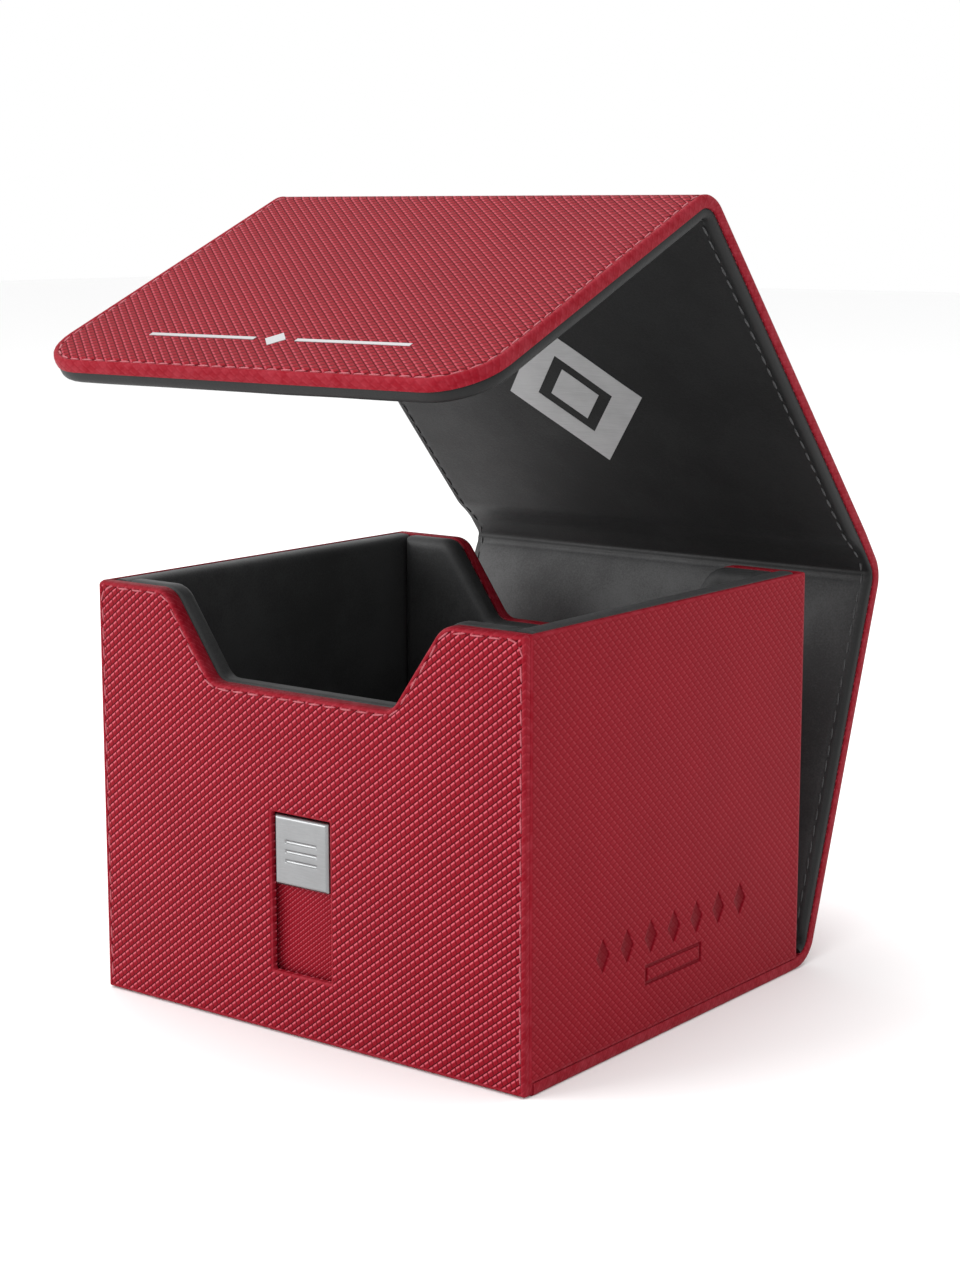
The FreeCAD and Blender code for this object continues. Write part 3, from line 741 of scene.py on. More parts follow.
@once("materials")
def leatherette(name, weave, way=1, on_object=False):
    """Red leatherette embossed with one of the WEAVES; way -1 slopes it the other way."""
    cloth = bpy.context.scene.deck_box_cloth
    size = {**STRENGTHS, **WEAVES[weave]}
    material, tree, shader, where = new_material(name)
    if on_object:
        upright = {"Vector": where, "Rotation": (math.radians(-90), 0, 0)}
        cloth_at = add_node(tree, "ShaderNodeMapping", upright)
    else:
        cloth_at = cloth_place(tree)
    pattern = use_group(
        tree,
        weave_group("embossed weave"),
        Cloth=cloth_at,
        Ridge_Pitch=size["ridge"] * MM * cloth.weave_scale,
        Thread_Pitch=size["thread"] * MM * cloth.weave_scale,
        Slope=math.radians(size["slope"] * way),
        Step=size["step"] * way,
        Lean=size["lean"] * way,
        Ridge_Weight=size["groove_shade"],
        Gap_Weight=size["gap_shade"],
    )
    mask, pressed = edge_mask(tree)
    edge = ramp(mask, 0.0, 0.4)
    red = list(cloth.red)
    # low is the painted shade colour for the grooves, and high the painted highlight colour for the crests, both scaled
    # by the weave's strengths.
    low = [r + (g - r) * size["painted_contrast"] for r, g in zip(red, cloth.painted_groove_shade)]
    high = [r + (g - r) * size["painted_contrast"] * size["crest"] for r, g in zip(red, cloth.painted_crest_highlight_and_rub)]
    # The weave's masks lay painted shade in the grooves and thread gaps, and a painted highlight on the ridges.
    woven_with_painted_light = mix(pattern["Crest"], mix(pattern["Groove"], red, low), high)
    rubbed = use_group(tree, rub_group("rubbed edge"), Mask=edge, Place=where, Amount=0.14)["Rub"]
    plain = mix(edge * 0.85, woven_with_painted_light, red)
    worn = mix(rubbed, mix(pressed * 0.8, plain, scaled(red, 0.6)), list(cloth.painted_crest_highlight_and_rub))
    tone = ramp(pattern["Tone"], 0.3, 0.7, 0.97, 1.03)
    link(add_node(tree, "ShaderNodeHueSaturation", {"Value": tone, "Color": worn}), shader["Base Color"])
    link(ramp(pattern["Height"], 0.0, 1.0, 0.72, 0.54) - rubbed * 0.12, shader["Roughness"])
    link(0.11, shader["Specular IOR Level"])
    link((1.0, 0.5, 0.55), shader["Specular Tint"])
    pebble = grain(cloth_at, 2400.0) * 0.12
    flat = 1.0 - edge * 0.9 - pressed * 0.8
    bump(pattern["Height"] * flat + pebble, cloth.relief * size["relief"], shader["Normal"])
    return material


@once("materials")
def suede(name, lift, crease=None):
    """Charcoal suede; lift is painted light that lightens it: all of it, or up to a crease along the cloth."""
    charcoal = bpy.context.scene.deck_box_cloth.charcoal
    material, tree, shader, where = new_material(name)
    nap = use_group(tree, nap_group("suede nap"), Place=where)
    tone = ramp(nap["Tone"], 0.3, 0.72)

    def painted_light_by(by):
        return mix(tone, scaled(charcoal, 0.78 * by), scaled(charcoal, 1.35 * by))

    ground = painted_light_by(lift)
    if crease is not None:
        _, along = split(cloth_place(tree))
        # Painted sheen: the suede is lightened by lift up to the crease, and keeps its plain colour past it.
        ground = mix(ramp(along, crease - 2.0 * MM, crease + 1.5 * MM), ground, painted_light_by(1.0))
    mask, painted_rim_shade = edge_mask(tree)
    rubbed = use_group(
        tree, rub_group("rubbed edge"), Mask=mask.maths("MAXIMUM", 0.0), Place=where, Amount=0.6
    )["Rub"]
    worn = mix(rubbed, ground, scaled(charcoal, 3.0))
    # Painted shade: the padding's rim is darkened where the rub mask is below 0.
    link(mix(painted_rim_shade, worn, scaled(charcoal, 0.35)), shader["Base Color"])
    link(ramp(nap["Tone"], 0.2, 0.8, 0.58, 0.48), shader["Roughness"])
    link(0.3, shader["Specular IOR Level"])
    link(0.03, shader["Sheen Weight"])
    link(0.45, shader["Sheen Roughness"])
    link((0.75, 0.76, 0.78), shader["Sheen Tint"])
    bump(nap["Height"], 0.00006, shader["Normal"])
    return material


def tray_suede():
    return suede("charcoal suede tray", TRAY_PAINTED_LIGHT)


@once("materials")
def thread_material(name, dark, light):
    """Twisted thread with a little sheen."""
    material, _, shader, where = new_material(name)
    strands = grain(where, 5200.0)
    link(mix(ramp(strands, 0.3, 0.7), dark, light), shader["Base Color"])
    link(ramp(strands, 0.3, 0.7, 0.6, 0.45), shader["Roughness"])
    link(0.2, shader["Sheen Weight"])
    bump(strands, 0.00005, shader["Normal"])
    return material


@once("materials")
def brushed_metal(name, bright, rough, brushed, scale, metallic=1.0):
    """Satin metal with its brush marks along x."""
    material, tree, shader, where = new_material(name)
    stretched = add_node(tree, "ShaderNodeMapping", {"Vector": where, "Scale": (scale * 0.04, scale, scale)})
    lines = grain(stretched, 1.0, 3.0, 0.6)
    shade = lines * 0.5 + grain(where, 120.0, 3.0) * 0.5
    link(mix(ramp(shade, 0.35, 0.65), scaled(bright, 0.86), bright), shader["Base Color"])
    link(ramp(shade, 0.3, 0.7, rough + 0.08, rough - 0.06), shader["Roughness"])
    link(metallic, shader["Metallic"])
    bump(lines, brushed, shader["Normal"])
    return material


# ---------------------------------------------------------------- stitches


@once("node_groups")
def stitch_tree(name):
    """Geometry nodes that lay thread along a seam line, one stitch at a time."""
    inputs = {
        "Seam": "Geometry",
        "Pitch": "Float",
        "Stitch Share": "Float",
        "Thread Width": "Float",
        "Seed": "Int",
        "Thread": "Material",
    }
    tree, given, out = new_group(name, inputs, {"Stitches": "Geometry"}, "GeometryNodeTree")

    def add(kind, *values, output=0, **settings):
        return add_node(tree, kind, enumerate(values), output, **settings)

    def uneven(low, high):
        limits = {"Min": low, "Max": high, "Seed": given["Seed"]}
        return add_node(tree, "FunctionNodeRandomValue", limits, "Value", data_type="FLOAT_VECTOR")

    curve = add("GeometryNodeMeshToCurve", given["Seam"])
    length = add("GeometryNodeSplineLength", output="Length")
    count = (length / given["Pitch"]).maths("ROUND").maths("MAXIMUM", 1.0)
    half_step = length / count * 0.5
    trim = tree.nodes.new("GeometryNodeTrimCurve")
    trim.mode = "LENGTH"
    link(curve, trim.inputs["Curve"])
    for end, value in (("Start", half_step), ("End", length - half_step)):
        link(value, next(s for s in trim.inputs if s.name == end and s.enabled))
    points = {"Curve": Value(trim.outputs[0]), "Count": count}
    even = add_node(tree, "GeometryNodeResampleCurve", points, mode="COUNT")
    bead = {"Segments": 8, "Rings": 7, "Radius": 0.5}
    stitch = add_node(tree, "GeometryNodeMeshUVSphere", bead, "Mesh")
    tangent = {"Vector": add("GeometryNodeInputTangent")}
    lengthwise = add_node(tree, "FunctionNodeAlignRotationToVector", tangent, axis="X")
    outward = add_node(
        tree, "GeometryNodeInputNamedAttribute", {"Name": FACE_WAY}, "Attribute", data_type="FLOAT_VECTOR"
    )
    over = {"Rotation": lengthwise, "Vector": outward}
    upright = add_node(tree, "FunctionNodeAlignRotationToVector", over, axis="Z", pivot_axis="X")
    size = add(
        "ShaderNodeCombineXYZ",
        given["Pitch"] * given["Stitch Share"],
        given["Thread Width"],
        given["Thread Width"] * 0.9,
    )
    varied = add("ShaderNodeVectorMath", size, uneven((0.94, 0.9, 0.9), (1.03, 1.1, 1.1)), operation="MULTIPLY")
    lean = uneven((0.0, 0.0, math.radians(1.0)), (0.0, 0.0, math.radians(4.0)))
    tilt = add("FunctionNodeEulerToRotation", lean)
    turned = add("FunctionNodeRotateRotation", upright, tilt, rotation_space="LOCAL")
    row = {"Points": even, "Instance": stitch, "Rotation": turned, "Scale": varied}
    real = add("GeometryNodeRealizeInstances", add_node(tree, "GeometryNodeInstanceOnPoints", row))
    sewn = {"Geometry": add("GeometryNodeSetShadeSmooth", real), "Material": given["Thread"]}
    link(add_node(tree, "GeometryNodeSetMaterial", sewn), out[0])
    return tree


def sew(name, lines, pitch, thread):
    """Stitches along seam lines, each a list of (point, outward way); returns the plain mesh piece."""
    seam = bpy.context.scene.deck_box_seam
    guide = bpy.data.meshes.new(name + "_line")
    verts, edges, ways = [], [], []
    for line in lines:
        start = len(verts)
        for point, way in line:
            verts.append(Vector(point) * MM)
            ways.extend(Vector(way).normalized())
        edges.extend((start + i, start + i + 1) for i in range(len(line) - 1))
    guide.from_pydata(verts, edges, [])
    guide.attributes.new(FACE_WAY, "FLOAT_VECTOR", "POINT").data.foreach_set("vector", ways)
    holder = bpy.data.objects.new(name + "_line", guide)
    bpy.context.scene.collection.objects.link(holder)
    modifier = holder.modifiers.new("stitches", "NODES")
    modifier.node_group = stitch_tree("row of stitches")
    values = {
        "Pitch": pitch,
        "Stitch Share": seam.stitch_share,
        "Thread Width": seam.thread,
        "Seed": seam.seed,
        "Thread": thread_material(*thread),
    }
    for socket in modifier.node_group.interface.items_tree:
        if socket.name in values:
            modifier[socket.identifier] = values[socket.name]
    graph = bpy.context.evaluated_depsgraph_get()
    mesh = bpy.data.meshes.new_from_object(holder.evaluated_get(graph))
    mesh.name = name
    bpy.data.objects.remove(holder)
    if not len(mesh.polygons):
        raise RuntimeError(f"no stitches were made for {name}")
    piece = bpy.data.objects.new(name, mesh)
    bpy.context.scene.collection.objects.link(piece)
    return piece


# ---------------------------------------------------------------- the cover

COVER_START = -1.3  # the cover begins this far before the base board's front edge
PAD_SEAM_INSET = 1.8
PAD_SEAM_SHARE = 0.935
PAD_SEAM_LIFT = 0.1
# Painted sheen: the cover's suede is lightened this much up to the lower crease, over the back panel.
BACK_PAINTED_SHEEN = 3.4
# Painted light: the tray's lining is lightened this much all over, against the shade inside the tray.
TRAY_PAINTED_LIGHT = 2.5

# Name, bodies, the fold it crosses, how far the bend reaches, the CAD nodes that its leather stands for,
# and those that its padding stands for.
SECTIONS = (
    ("rear", ("tray", "back_panel"), "rear", 5.0, ("base_skin", "base_board", "rear_fold"), ()),
    (
        "back",
        ("back_panel", "spine"),
        "low",
        4.9,
        ("back_cover_skin", "back_cover_board", "spine_cover_skin"),
        ("back_cover_liner", "spine_cover_liner"),
    ),
    ("top", ("spine", "top_panel"), "high", 4.9, ("top_cover_skin", "top_cover_board"), ("top_cover_liner",)),
    (
        "flap",
        ("top_panel", "flap"),
        "front",
        6.0,
        ("front_fold", "flap_cover_skin", "flap_cover_board"),
        ("flap_cover_liner", "flap_magnet"),
    ),
)


def cover_sections(wrap, inset=0.0):
    """Each section's name, bend, start, end, free end (how a strip is closed round its corners) and CAD nodes."""
    middles = [(a + b) / 2 for a, b in zip(wrap.marks[2:5], wrap.marks[3:6])]
    cuts = [COVER_START, *middles, wrap.end]
    corner = bpy.context.scene.deck_box_cover.corner / MM - inset
    for (name, bodies, fold, reach, leather, padding), start, end in zip(SECTIONS, cuts, cuts[1:]):
        free = dict(end=wrap.end - inset, corner=corner) if name == "flap" else {}
        yield name, wrap.bend(bodies, fold, reach), start, end, free, leather, padding


def leather_edge(s):
    """Edge of the leather side: flat, the groove of a seam at inset s, a raised bead, round to the glued side."""
    return [
        (s + 1.1, 1.0, 0.0),
        (s + 0.65, 1.0, 0.0),
        (s + 0.32, 0.995, 0.0),
        (s + 0.12, 0.985, 0.0),
        (s - 0.12, 0.985, 0.0),
        (s - 0.34, 0.995, 0.15),
        (s - 0.6, 1.02, 0.7),
        (s - 0.85, 1.02, 1.0),
        (0.3, 0.95, 1.0),
        (0.1, 0.82, 1.0),
        (0.0, 0.62, 0.8),
        (0.0, 0.25, 0.8),
        (0.12, 0.06, 0.6),
        (0.4, 0.0, 0.0),
    ]


# The padding's rim has rub below 0, which darkens it with painted shade.
PADDING_EDGE = [
    (4.2, 1.0, 0.0),
    (3.2, 1.0, 0.0),
    (2.5, 0.985, 0.0),
    (PAD_SEAM_INSET + 0.2, PAD_SEAM_SHARE, 0.0),
    (PAD_SEAM_INSET - 0.2, PAD_SEAM_SHARE, 0.0),
    (1.45, 0.965, 0.0),
    (1.0, 0.95, -0.4),
    (0.6, 0.9, -0.8),
    (0.28, 0.79, -1.0),
    (0.08, 0.62, -1.0),
    (0.0, 0.42, -1.0),
    (0.0, 0.12, -1.0),
    (0.15, 0.0, -1.0),
]


def needle_pull(run, pitch, away, width, depth):
    """How far the leather is pulled in at a distance from the seam line, deeper where the needle went."""
    near = math.exp(-((away / width) ** 2))
    return depth * near * (0.78 + 0.22 * math.cos(2 * math.pi * run / pitch))


class DECKBOX_OT_cover_leather(bpy.types.Operator):
    """Makes the leatherette side of the cover, one length over each fold"""

    bl_idname = "deck_box.cover_leather"
    bl_label = "Cover leather"

    def execute(self, context):
        cover, seam = context.scene.deck_box_cover, context.scene.deck_box_seam
        wrap = Wrap(cover)
        inset, depth, pitch = seam.inset / MM, seam.groove / MM, seam.cover_pitch / MM
        for name, bend, start, end, free, leather, _ in cover_sections(wrap):
            piece = strip(
                f"cover_leather_{name}",
                wrap,
                wrap.stations(start, end),
                leather_edge(inset),
                leatherette("red leatherette cover", "cover"),
                wrap.half,
                lambda x, s: -cover.skin / MM,
                groove=lambda run, at: needle_pull(run, pitch, at - inset, 0.34, depth),
                **free,
            )
            fit(piece, leather, bend=bend)
        return {"FINISHED"}


class DECKBOX_OT_cover_padding(bpy.types.Operator):
    """Makes the padded suede side of the cover, pinched flat at each fold"""

    bl_idname = "deck_box.cover_padding"
    bl_label = "Cover padding"

    def execute(self, context):
        cover = context.scene.deck_box_cover
        wrap = Wrap(cover)
        inset = cover.pad_inset / MM
        for name, bend, start, end, free, _, padding in cover_sections(wrap, inset):
            begin = wrap.rear - 1.6 if name == "rear" else start
            piece = strip(
                f"cover_padding_{name}",
                wrap,
                wrap.stations(begin, end),
                PADDING_EDGE,
                suede("charcoal suede cover", BACK_PAINTED_SHEEN, wrap.low * MM),
                wrap.half - inset,
                wrap.padding_face,
                across=26,
                **free,
            )
            fit(piece, padding, bend=bend)
        return {"FINISHED"}


def seam_lines(wrap, stations, half, inset, face, end=None, corner=0.0):
    """The stitch lines of a strip: both long sides, or one line round the free end."""
    edge = half_outline(stations, half, inset, end, corner, arc=14)

    def out(x, s):
        d = face(x, s)
        y, z = wrap.at(s, d)
        y2, z2 = wrap.at(s, d + 0.3)
        way = Vector((0, y2 - y, z2 - z))
        return (x, y, z), way if d > 0 else -way

    right = [out(x, s) for x, s in edge]
    left = [out(-x, s) for x, s in edge]
    if end is None:
        return [right, left]
    return [right + left[::-1]]


class DECKBOX_OT_cover_stitches(bpy.types.Operator):
    """Sews the edges of the cover, red outside and dark grey on the padding"""

    bl_idname = "deck_box.cover_stitches"
    bl_label = "Cover stitches"

    def execute(self, context):
        cover, seam = context.scene.deck_box_cover, context.scene.deck_box_seam
        wrap = Wrap(cover)
        thread_face = -(cover.skin / MM - seam.groove / MM * 0.55)
        sides = (
            ("red", RED_THREAD, 0.0, seam.inset / MM, 1.0, lambda x, s: thread_face, "seam"),
            (
                "dark",
                DARK_THREAD,
                cover.pad_inset / MM,
                PAD_SEAM_INSET,
                2.5,
                lambda x, s: PAD_SEAM_LIFT + PAD_SEAM_SHARE * wrap.padding_face(x, s),
                "pad_seam",
            ),
        )
        for sections in zip(*(cover_sections(wrap, side[2]) for side in sides)):
            for (shade, thread, trim, inset, late, face, node), section in zip(sides, sections):
                name, bend, start, end, free, _, _ = section
                if name == "rear":
                    start = wrap.rear + late
                lines = seam_lines(wrap, wrap.stations(start, end), wrap.half - trim, inset, face, **free)
                piece = sew(f"{shade}_stitches_{name}", lines, seam.cover_pitch, thread)
                nodes = () if name == "rear" else (f"{name}_cover_{node}",)
                fit(piece, nodes, bend=bend)
        return {"FINISHED"}


# ---------------------------------------------------------------- the tray

NOTCH_WIDE, NOTCH_NARROW, NOTCH_DEEP = 68.4, 44.6, 17.0
WINDOW_WIDE, WINDOW_SILL, WINDOW_HEAD = 14.6, 12.6, 43.8
SLIDE_GAP = 0.6
WALL_SPLIT = 0.95  # how far out the lining of an end wall gives way to its leather
END_TRIM = 0.25
SIDE_FRONT, SIDE_REAR = 1.25, 0.7  # how far the side walls' leather stops short of the end walls' faces
RIM_RISE = 0.3
PAD_STEP = 2.0  # thickness of a side wall's padding over the board's top edge


def box_corners(low_x, high_x, bottom, top, radius):
    """Corners of a rectangle, all of one radius."""
    return [(low_x, bottom, radius), (high_x, bottom, radius), (high_x, top, radius), (low_x, top, radius)]


def wall_outline(low, high, top, drop=0.0, trim=0.0):
    """Corners of an end wall: a board with the finger notch cut from its top edge."""
    shift = drop * 0.6
    wide, narrow, foot = NOTCH_WIDE / 2 + shift, NOTCH_NARROW / 2 + shift, top - NOTCH_DEEP
    return [
        (low.x + trim, low.z, 0.5),
        (high.x - trim, low.z, 0.5),
        (high.x - trim, top, 0.9),
        (wide, top, 5.0 - drop),
        (narrow, foot, 4.0 + drop),
        (-narrow, foot, 4.0 + drop),
        (-wide, top, 5.0 - drop),
        (low.x + trim, top, 0.9),
    ]


class DECKBOX_OT_end_walls(bpy.types.Operator):
    """Makes the leatherette of the front and back walls, with notch, beaded edge and the slide's window"""

    bl_idname = "deck_box.end_walls"
    bl_label = "End walls"

    def execute(self, context):
        seam = context.scene.deck_box_seam
        s, depth, pitch = seam.tray_inset / MM, seam.groove / MM, seam.tray_pitch / MM
        for name, side in (("front", -1), ("back", 1)):
            low, high = box_mm(f"{name}_skin")
            thick = high.y - low.y
            inner = high.y if side < 0 else low.y
            outline = wall_outline(low, high, high.z, trim=END_TRIM)
            line = rounded(outline, s)
            runs, whole = run_lengths(line)
            even = whole / round(whole / pitch)

            def pull(i, point, inset, low=low, runs=runs, even=even):
                sewn = smooth((point.y - low.z - 1.2) / 1.4)
                return sewn * needle_pull(runs[i], even, inset - s, 0.27, depth)

            edge = [
                (0.5, WALL_SPLIT, 0.0),
                (0.12, WALL_SPLIT + 0.12, 0.5),
                (0.0, WALL_SPLIT + 0.4, 0.8),
                (0.0, thick - 1.1, 0.8),
                (0.05, thick - 0.62, 1.0),
                (0.18, thick - 0.26, 1.0),
                (0.38, thick - 0.03, 1.0),
                (0.6, thick + 0.03, 0.6),
                (s - 0.26, thick, 0.15),
                (s - 0.1, thick - 0.02, 0.0),
                (s + 0.1, thick - 0.02, 0.0),
                (s + 0.34, thick - 0.01, 0.0),
                (s + 0.62, thick, 0.0),
                (s + 1.1, thick, 0.0),
                (s + 1.5, thick, 0.0),
            ]
            window = [
                (-1.3, thick, 0.0),
                (-0.75, thick, 0.0),
                (-0.4, thick - 0.05, 0.3),
                (-0.12, thick - 0.2, 0.8),
                (0.0, thick - 0.5, 0.4),
                (0.0, thick - 1.2, 0.0),
                (-1.35, thick - 1.25, 0.0),
                (-1.4, thick - 2.72, 0.0),
            ]
            opening = box_corners(-WINDOW_WIDE / 2, WINDOW_WIDE / 2, WINDOW_SILL, WINDOW_HEAD, 0.45)

            def place(x, z, height, side=side, inner=inner):
                return (x, inner + side * height, z)

            leather = leatherette(f"red leatherette {name}", "end wall", -side)
            recesses = [(opening, window)] if side < 0 else []
            piece = plate(f"{name}_wall_leather", outline, edge, place, leather, recesses, pull)
            fit(piece, (f"{name}_skin", f"{name}_board"), "tray")
            corner = min(range(len(line)), key=lambda i: (line[i] - Vector((high.x - s, low.z + s))).length)
            turned = line[corner:] + line[:corner]
            path = [
                (place(p.x, p.y, thick - depth * 0.5), (0, side, 0)) for p in turned if p.y > low.z + s + 0.5
            ]
            stitches = sew(f"red_stitches_{name}_wall", [path], seam.tray_pitch, RED_THREAD)
            fit(stitches, (f"{name}_seam",), "tray")
        return {"FINISHED"}


def side_mark_recesses(thick):
    """The row of lozenges over a small frame that is pressed into the right wall."""
    deep = 0.32
    steps = [
        (-0.5, thick, 0.0),
        (-0.2, thick, 0.0),
        (-0.05, thick - 0.04, 0.0),
        (0.05, thick - deep * 0.85, -0.8),
        (0.16, thick - deep, -1.0),
    ]
    middle, half_wide, half_high, apart = 20.7, 2.1, 3.3, 8.0
    made = []
    for y in (k * apart for k in range(-3, 4)):
        points = ((0, -half_high), (half_wide, 0), (0, half_high), (-half_wide, 0))
        made.append(([(y + across, middle + up, 0.2) for across, up in points], steps))
    made.append((box_corners(-9.8, 9.8, 11.4, 15.4, 0.3), steps, box_corners(-9.05, 9.05, 12.15, 14.65, 0.2)))
    return made


class DECKBOX_OT_side_walls(bpy.types.Operator):
    """Makes the leatherette of the side walls, with the pressed mark on the right one"""

    bl_idname = "deck_box.side_walls"
    bl_label = "Side walls"

    def execute(self, context):
        front = box_mm("front_skin")[0].y + SIDE_FRONT
        rear = box_mm("back_skin")[1].y - SIDE_REAR
        for name, side in (("left", -1), ("right", 1)):
            low, high = box_mm(f"{name}_skin")
            thick = high.x - low.x
            inner = low.x if side > 0 else high.x
            edge = [
                (0.25, 0.0, 0.0),
                (0.05, 0.12, 0.3),
                (0.0, 0.3, 0.6),
                (0.03, thick - 0.42, 0.9),
                (0.14, thick - 0.16, 0.8),
                (0.4, thick - 0.02, 0.4),
                (0.8, thick, 0.0),
                (1.3, thick, 0.0),
            ]

            def place(y, z, height, side=side, inner=inner):
                return (inner + side * height, y, z)

            piece = plate(
                f"{name}_wall_leather",
                box_corners(front, rear, low.z, high.z, 0.3),
                edge,
                place,
                leatherette(f"red leatherette {name}", "side wall", -side),
                side_mark_recesses(thick) if side > 0 else [],
            )
            fit(piece, (f"{name}_skin", f"{name}_board"), "tray")
        return {"FINISHED"}


class DECKBOX_OT_lining(bpy.types.Operator):
    """Makes the padded suede inside the tray: four walls with rolled rims, and the floor"""

    bl_idname = "deck_box.lining"
    bl_label = "Lining"

    def execute(self, context):
        rim = box_mm("right_skin")[1].z + RIM_RISE
        trim = box_mm("front_liner")[1].x - box_mm("right_liner")[0].x
        for name, side, top, drop in (("front", -1, rim, -0.15), ("back", 1, rim - 0.4, 0.1)):
            low, high = box_mm(f"{name}_liner")
            thick = high.y - low.y + WALL_SPLIT
            outer = low.y - WALL_SPLIT if side < 0 else high.y + WALL_SPLIT
            edge = [
                (1.1, 0.0, 0.0),
                (0.45, 0.12, 0.0),
                (0.1, 0.5, 0.4),
                (0.0, 1.0, 0.9),
                (0.0, thick - 1.9, 1.0),
                (0.12, thick - 1.3, 1.0),
                (0.42, thick - 0.75, 0.9),
                (0.9, thick - 0.32, 0.6),
                (1.6, thick - 0.08, 0.2),
                (2.5, thick, 0.0),
                (3.4, thick, 0.0),
            ]

            def place(x, z, height, side=side, outer=outer):
                return (x, outer - side * height, z)

            outline = wall_outline(low, high, top, drop, trim)
            piece = plate(f"{name}_wall_padding", outline, edge, place, tray_suede())
            fit(piece, (f"{name}_liner",), "tray")
        for name, side, top in (("left", -1, rim - 0.3), ("right", 1, rim + 0.05)):
            low, high = box_mm(f"{name}_liner")
            face = low.x if side > 0 else high.x
            deep = high.x - low.x
            thin = deep - PAD_STEP
            section = [
                (0.0, low.z),
                (0.0, top - 2.6),
                (0.12, top - 1.75),
                (0.45, top - 1.0),
                (1.0, top - 0.42),
                (1.7, top - 0.1),
                (2.5, top),
                (deep - 1.5, top),
                (deep - 0.7, top - 0.08),
                (deep - 0.2, top - 0.32),
                (deep, top - 0.8),
                (deep, top - 1.5),
                (thin, top - 1.5),
                (thin, low.z),
            ]
            verts, faces, uvs, rub, rings = [], [], [], [], []
            rows = 60
            for r in range(rows + 1):
                y = low.y + (high.y - low.y) * r / rows
                rings.append(tuple(range(len(verts), len(verts) + len(section))))
                for x, z in section:
                    verts.append((face + side * x, y, z))
                    uvs.append((y, z))
                    rub.append(0.7 if 0 < x < deep and z > top - 1.0 else 0.0)
            bridge(faces, rings)
            faces.extend((rings[0], rings[-1]))
            piece = finish_mesh(f"{name}_wall_padding", verts, faces, uvs, rub, tray_suede())
            fit(piece, (f"{name}_liner",), "tray")
        low, high = box_mm("floor_liner")
        outline = [(low.x, low.y, 0.8), (high.x, low.y, 0.8), (high.x, high.y, 0.8), (low.x, high.y, 0.8)]
        edge = [(0.0, 0.0, 0.0), (0.0, 0.9, 0.0), (0.15, 1.2, 0.0), (0.5, 1.42, 0.0), (1.0, 1.5, 0.0), (2.0, 1.5, 0.0)]
        piece = plate("floor_padding", outline, edge, lambda x, y, h: (x, y, low.z + h), tray_suede())
        fit(piece, ("floor_liner", "floor_board"), "tray")
        return {"FINISHED"}


class DECKBOX_OT_slide(bpy.types.Operator):
    """Makes the metal slide: bevelled plate with grip grooves, and the wings that hold it in the channel"""

    bl_idname = "deck_box.slide"
    bl_label = "Slide"

    def execute(self, context):
        low, high = box_mm("slide_plate")
        half = WINDOW_WIDE / 2 - SLIDE_GAP
        thick = high.y - low.y
        metal = brushed_metal("satin slide metal", (0.28, 0.283, 0.287), 0.32, 0.00001, 9000.0)

        def place(x, z, height):
            return (x, high.y - height, z)

        edge = [
            (0.3, 0.0, 0.0),
            (0.0, 0.12, 0.0),
            (0.0, thick - 0.5, 0.0),
            (0.06, thick - 0.4, 0.0),
            (0.42, thick - 0.05, 0.0),
            (0.5, thick, 0.0),
            (0.8, thick, 0.0),
            (1.0, thick, 0.0),
        ]
        grip = [
            (-0.16, thick, 0.0),
            (-0.04, thick - 0.01, 0.0),
            (0.05, thick - 0.1, 0.0),
            (0.16, thick - 0.22, 0.0),
            (0.28, thick - 0.26, 0.0),
        ]
        wing = [(0.1, 0.0, 0.0), (0.0, 0.08, 0.0), (0.0, 0.6, 0.0), (0.1, 0.68, 0.0), (0.3, 0.68, 0.0)]
        middle = (low.z + high.z) / 2
        lifts = (middle - 1.9, middle, middle + 1.9)
        grooves = [(box_corners(-4.0, 4.0, z - 0.35, z + 0.35, 0.34), grip) for z in lifts]
        face = plate("slide_plate_face", box_corners(-half, half, low.z, high.z, 0.4), edge, place, metal, grooves)
        wings = box_corners(low.x, high.x, low.z + 0.15, high.z - 0.15, 0.4)
        fit(face, ("slide_plate",), "slide")
        fit(plate("slide_wings", wings, wing, place, metal), body="slide")
        return {"FINISHED"}


# ---------------------------------------------------------------- foil

FOIL_LIFTS = (0.09, -0.12)  # top and bottom of the foil, from the padding's face


def foil_ring(name, wrap, middle, size, inner, outer, material, parts=48, solid=False):
    """A lozenge of foil laid on the padding, between two shares of its size."""
    rows = max(3, round((outer - inner) * max(size) / 0.9))
    verts, faces, uvs = [], [], []
    for lift in FOIL_LIFTS:
        for r in range(rows + 1):
            share = inner + (outer - inner) * r / rows
            for k in range(parts):
                turn = 2 * math.pi * k / parts
                reach = share / (abs(math.cos(turn)) + abs(math.sin(turn)))
                x, s = size[0] * reach * math.cos(turn), middle + size[1] * reach * math.sin(turn)
                verts.append(wrap.place(x, s, wrap.padding_face(x, s) + lift))
                uvs.append((x, s))
    level = (rows + 1) * parts
    for k in range(parts):
        j = (k + 1) % parts
        for r in range(rows):
            a, b = r * parts, (r + 1) * parts
            faces.append((a + k, b + k, b + j, a + j))
            faces.append((level + a + k, level + a + j, level + b + j, level + b + k))
        last = rows * parts
        faces.append((last + k, level + last + k, level + last + j, last + j))
        if not solid:
            faces.append((k, j, level + j, level + k))
    if solid:
        faces.extend((tuple(range(parts)), tuple(range(level, level + parts))))
    return finish_mesh(name, verts, faces, uvs, [0.0] * len(verts), material)


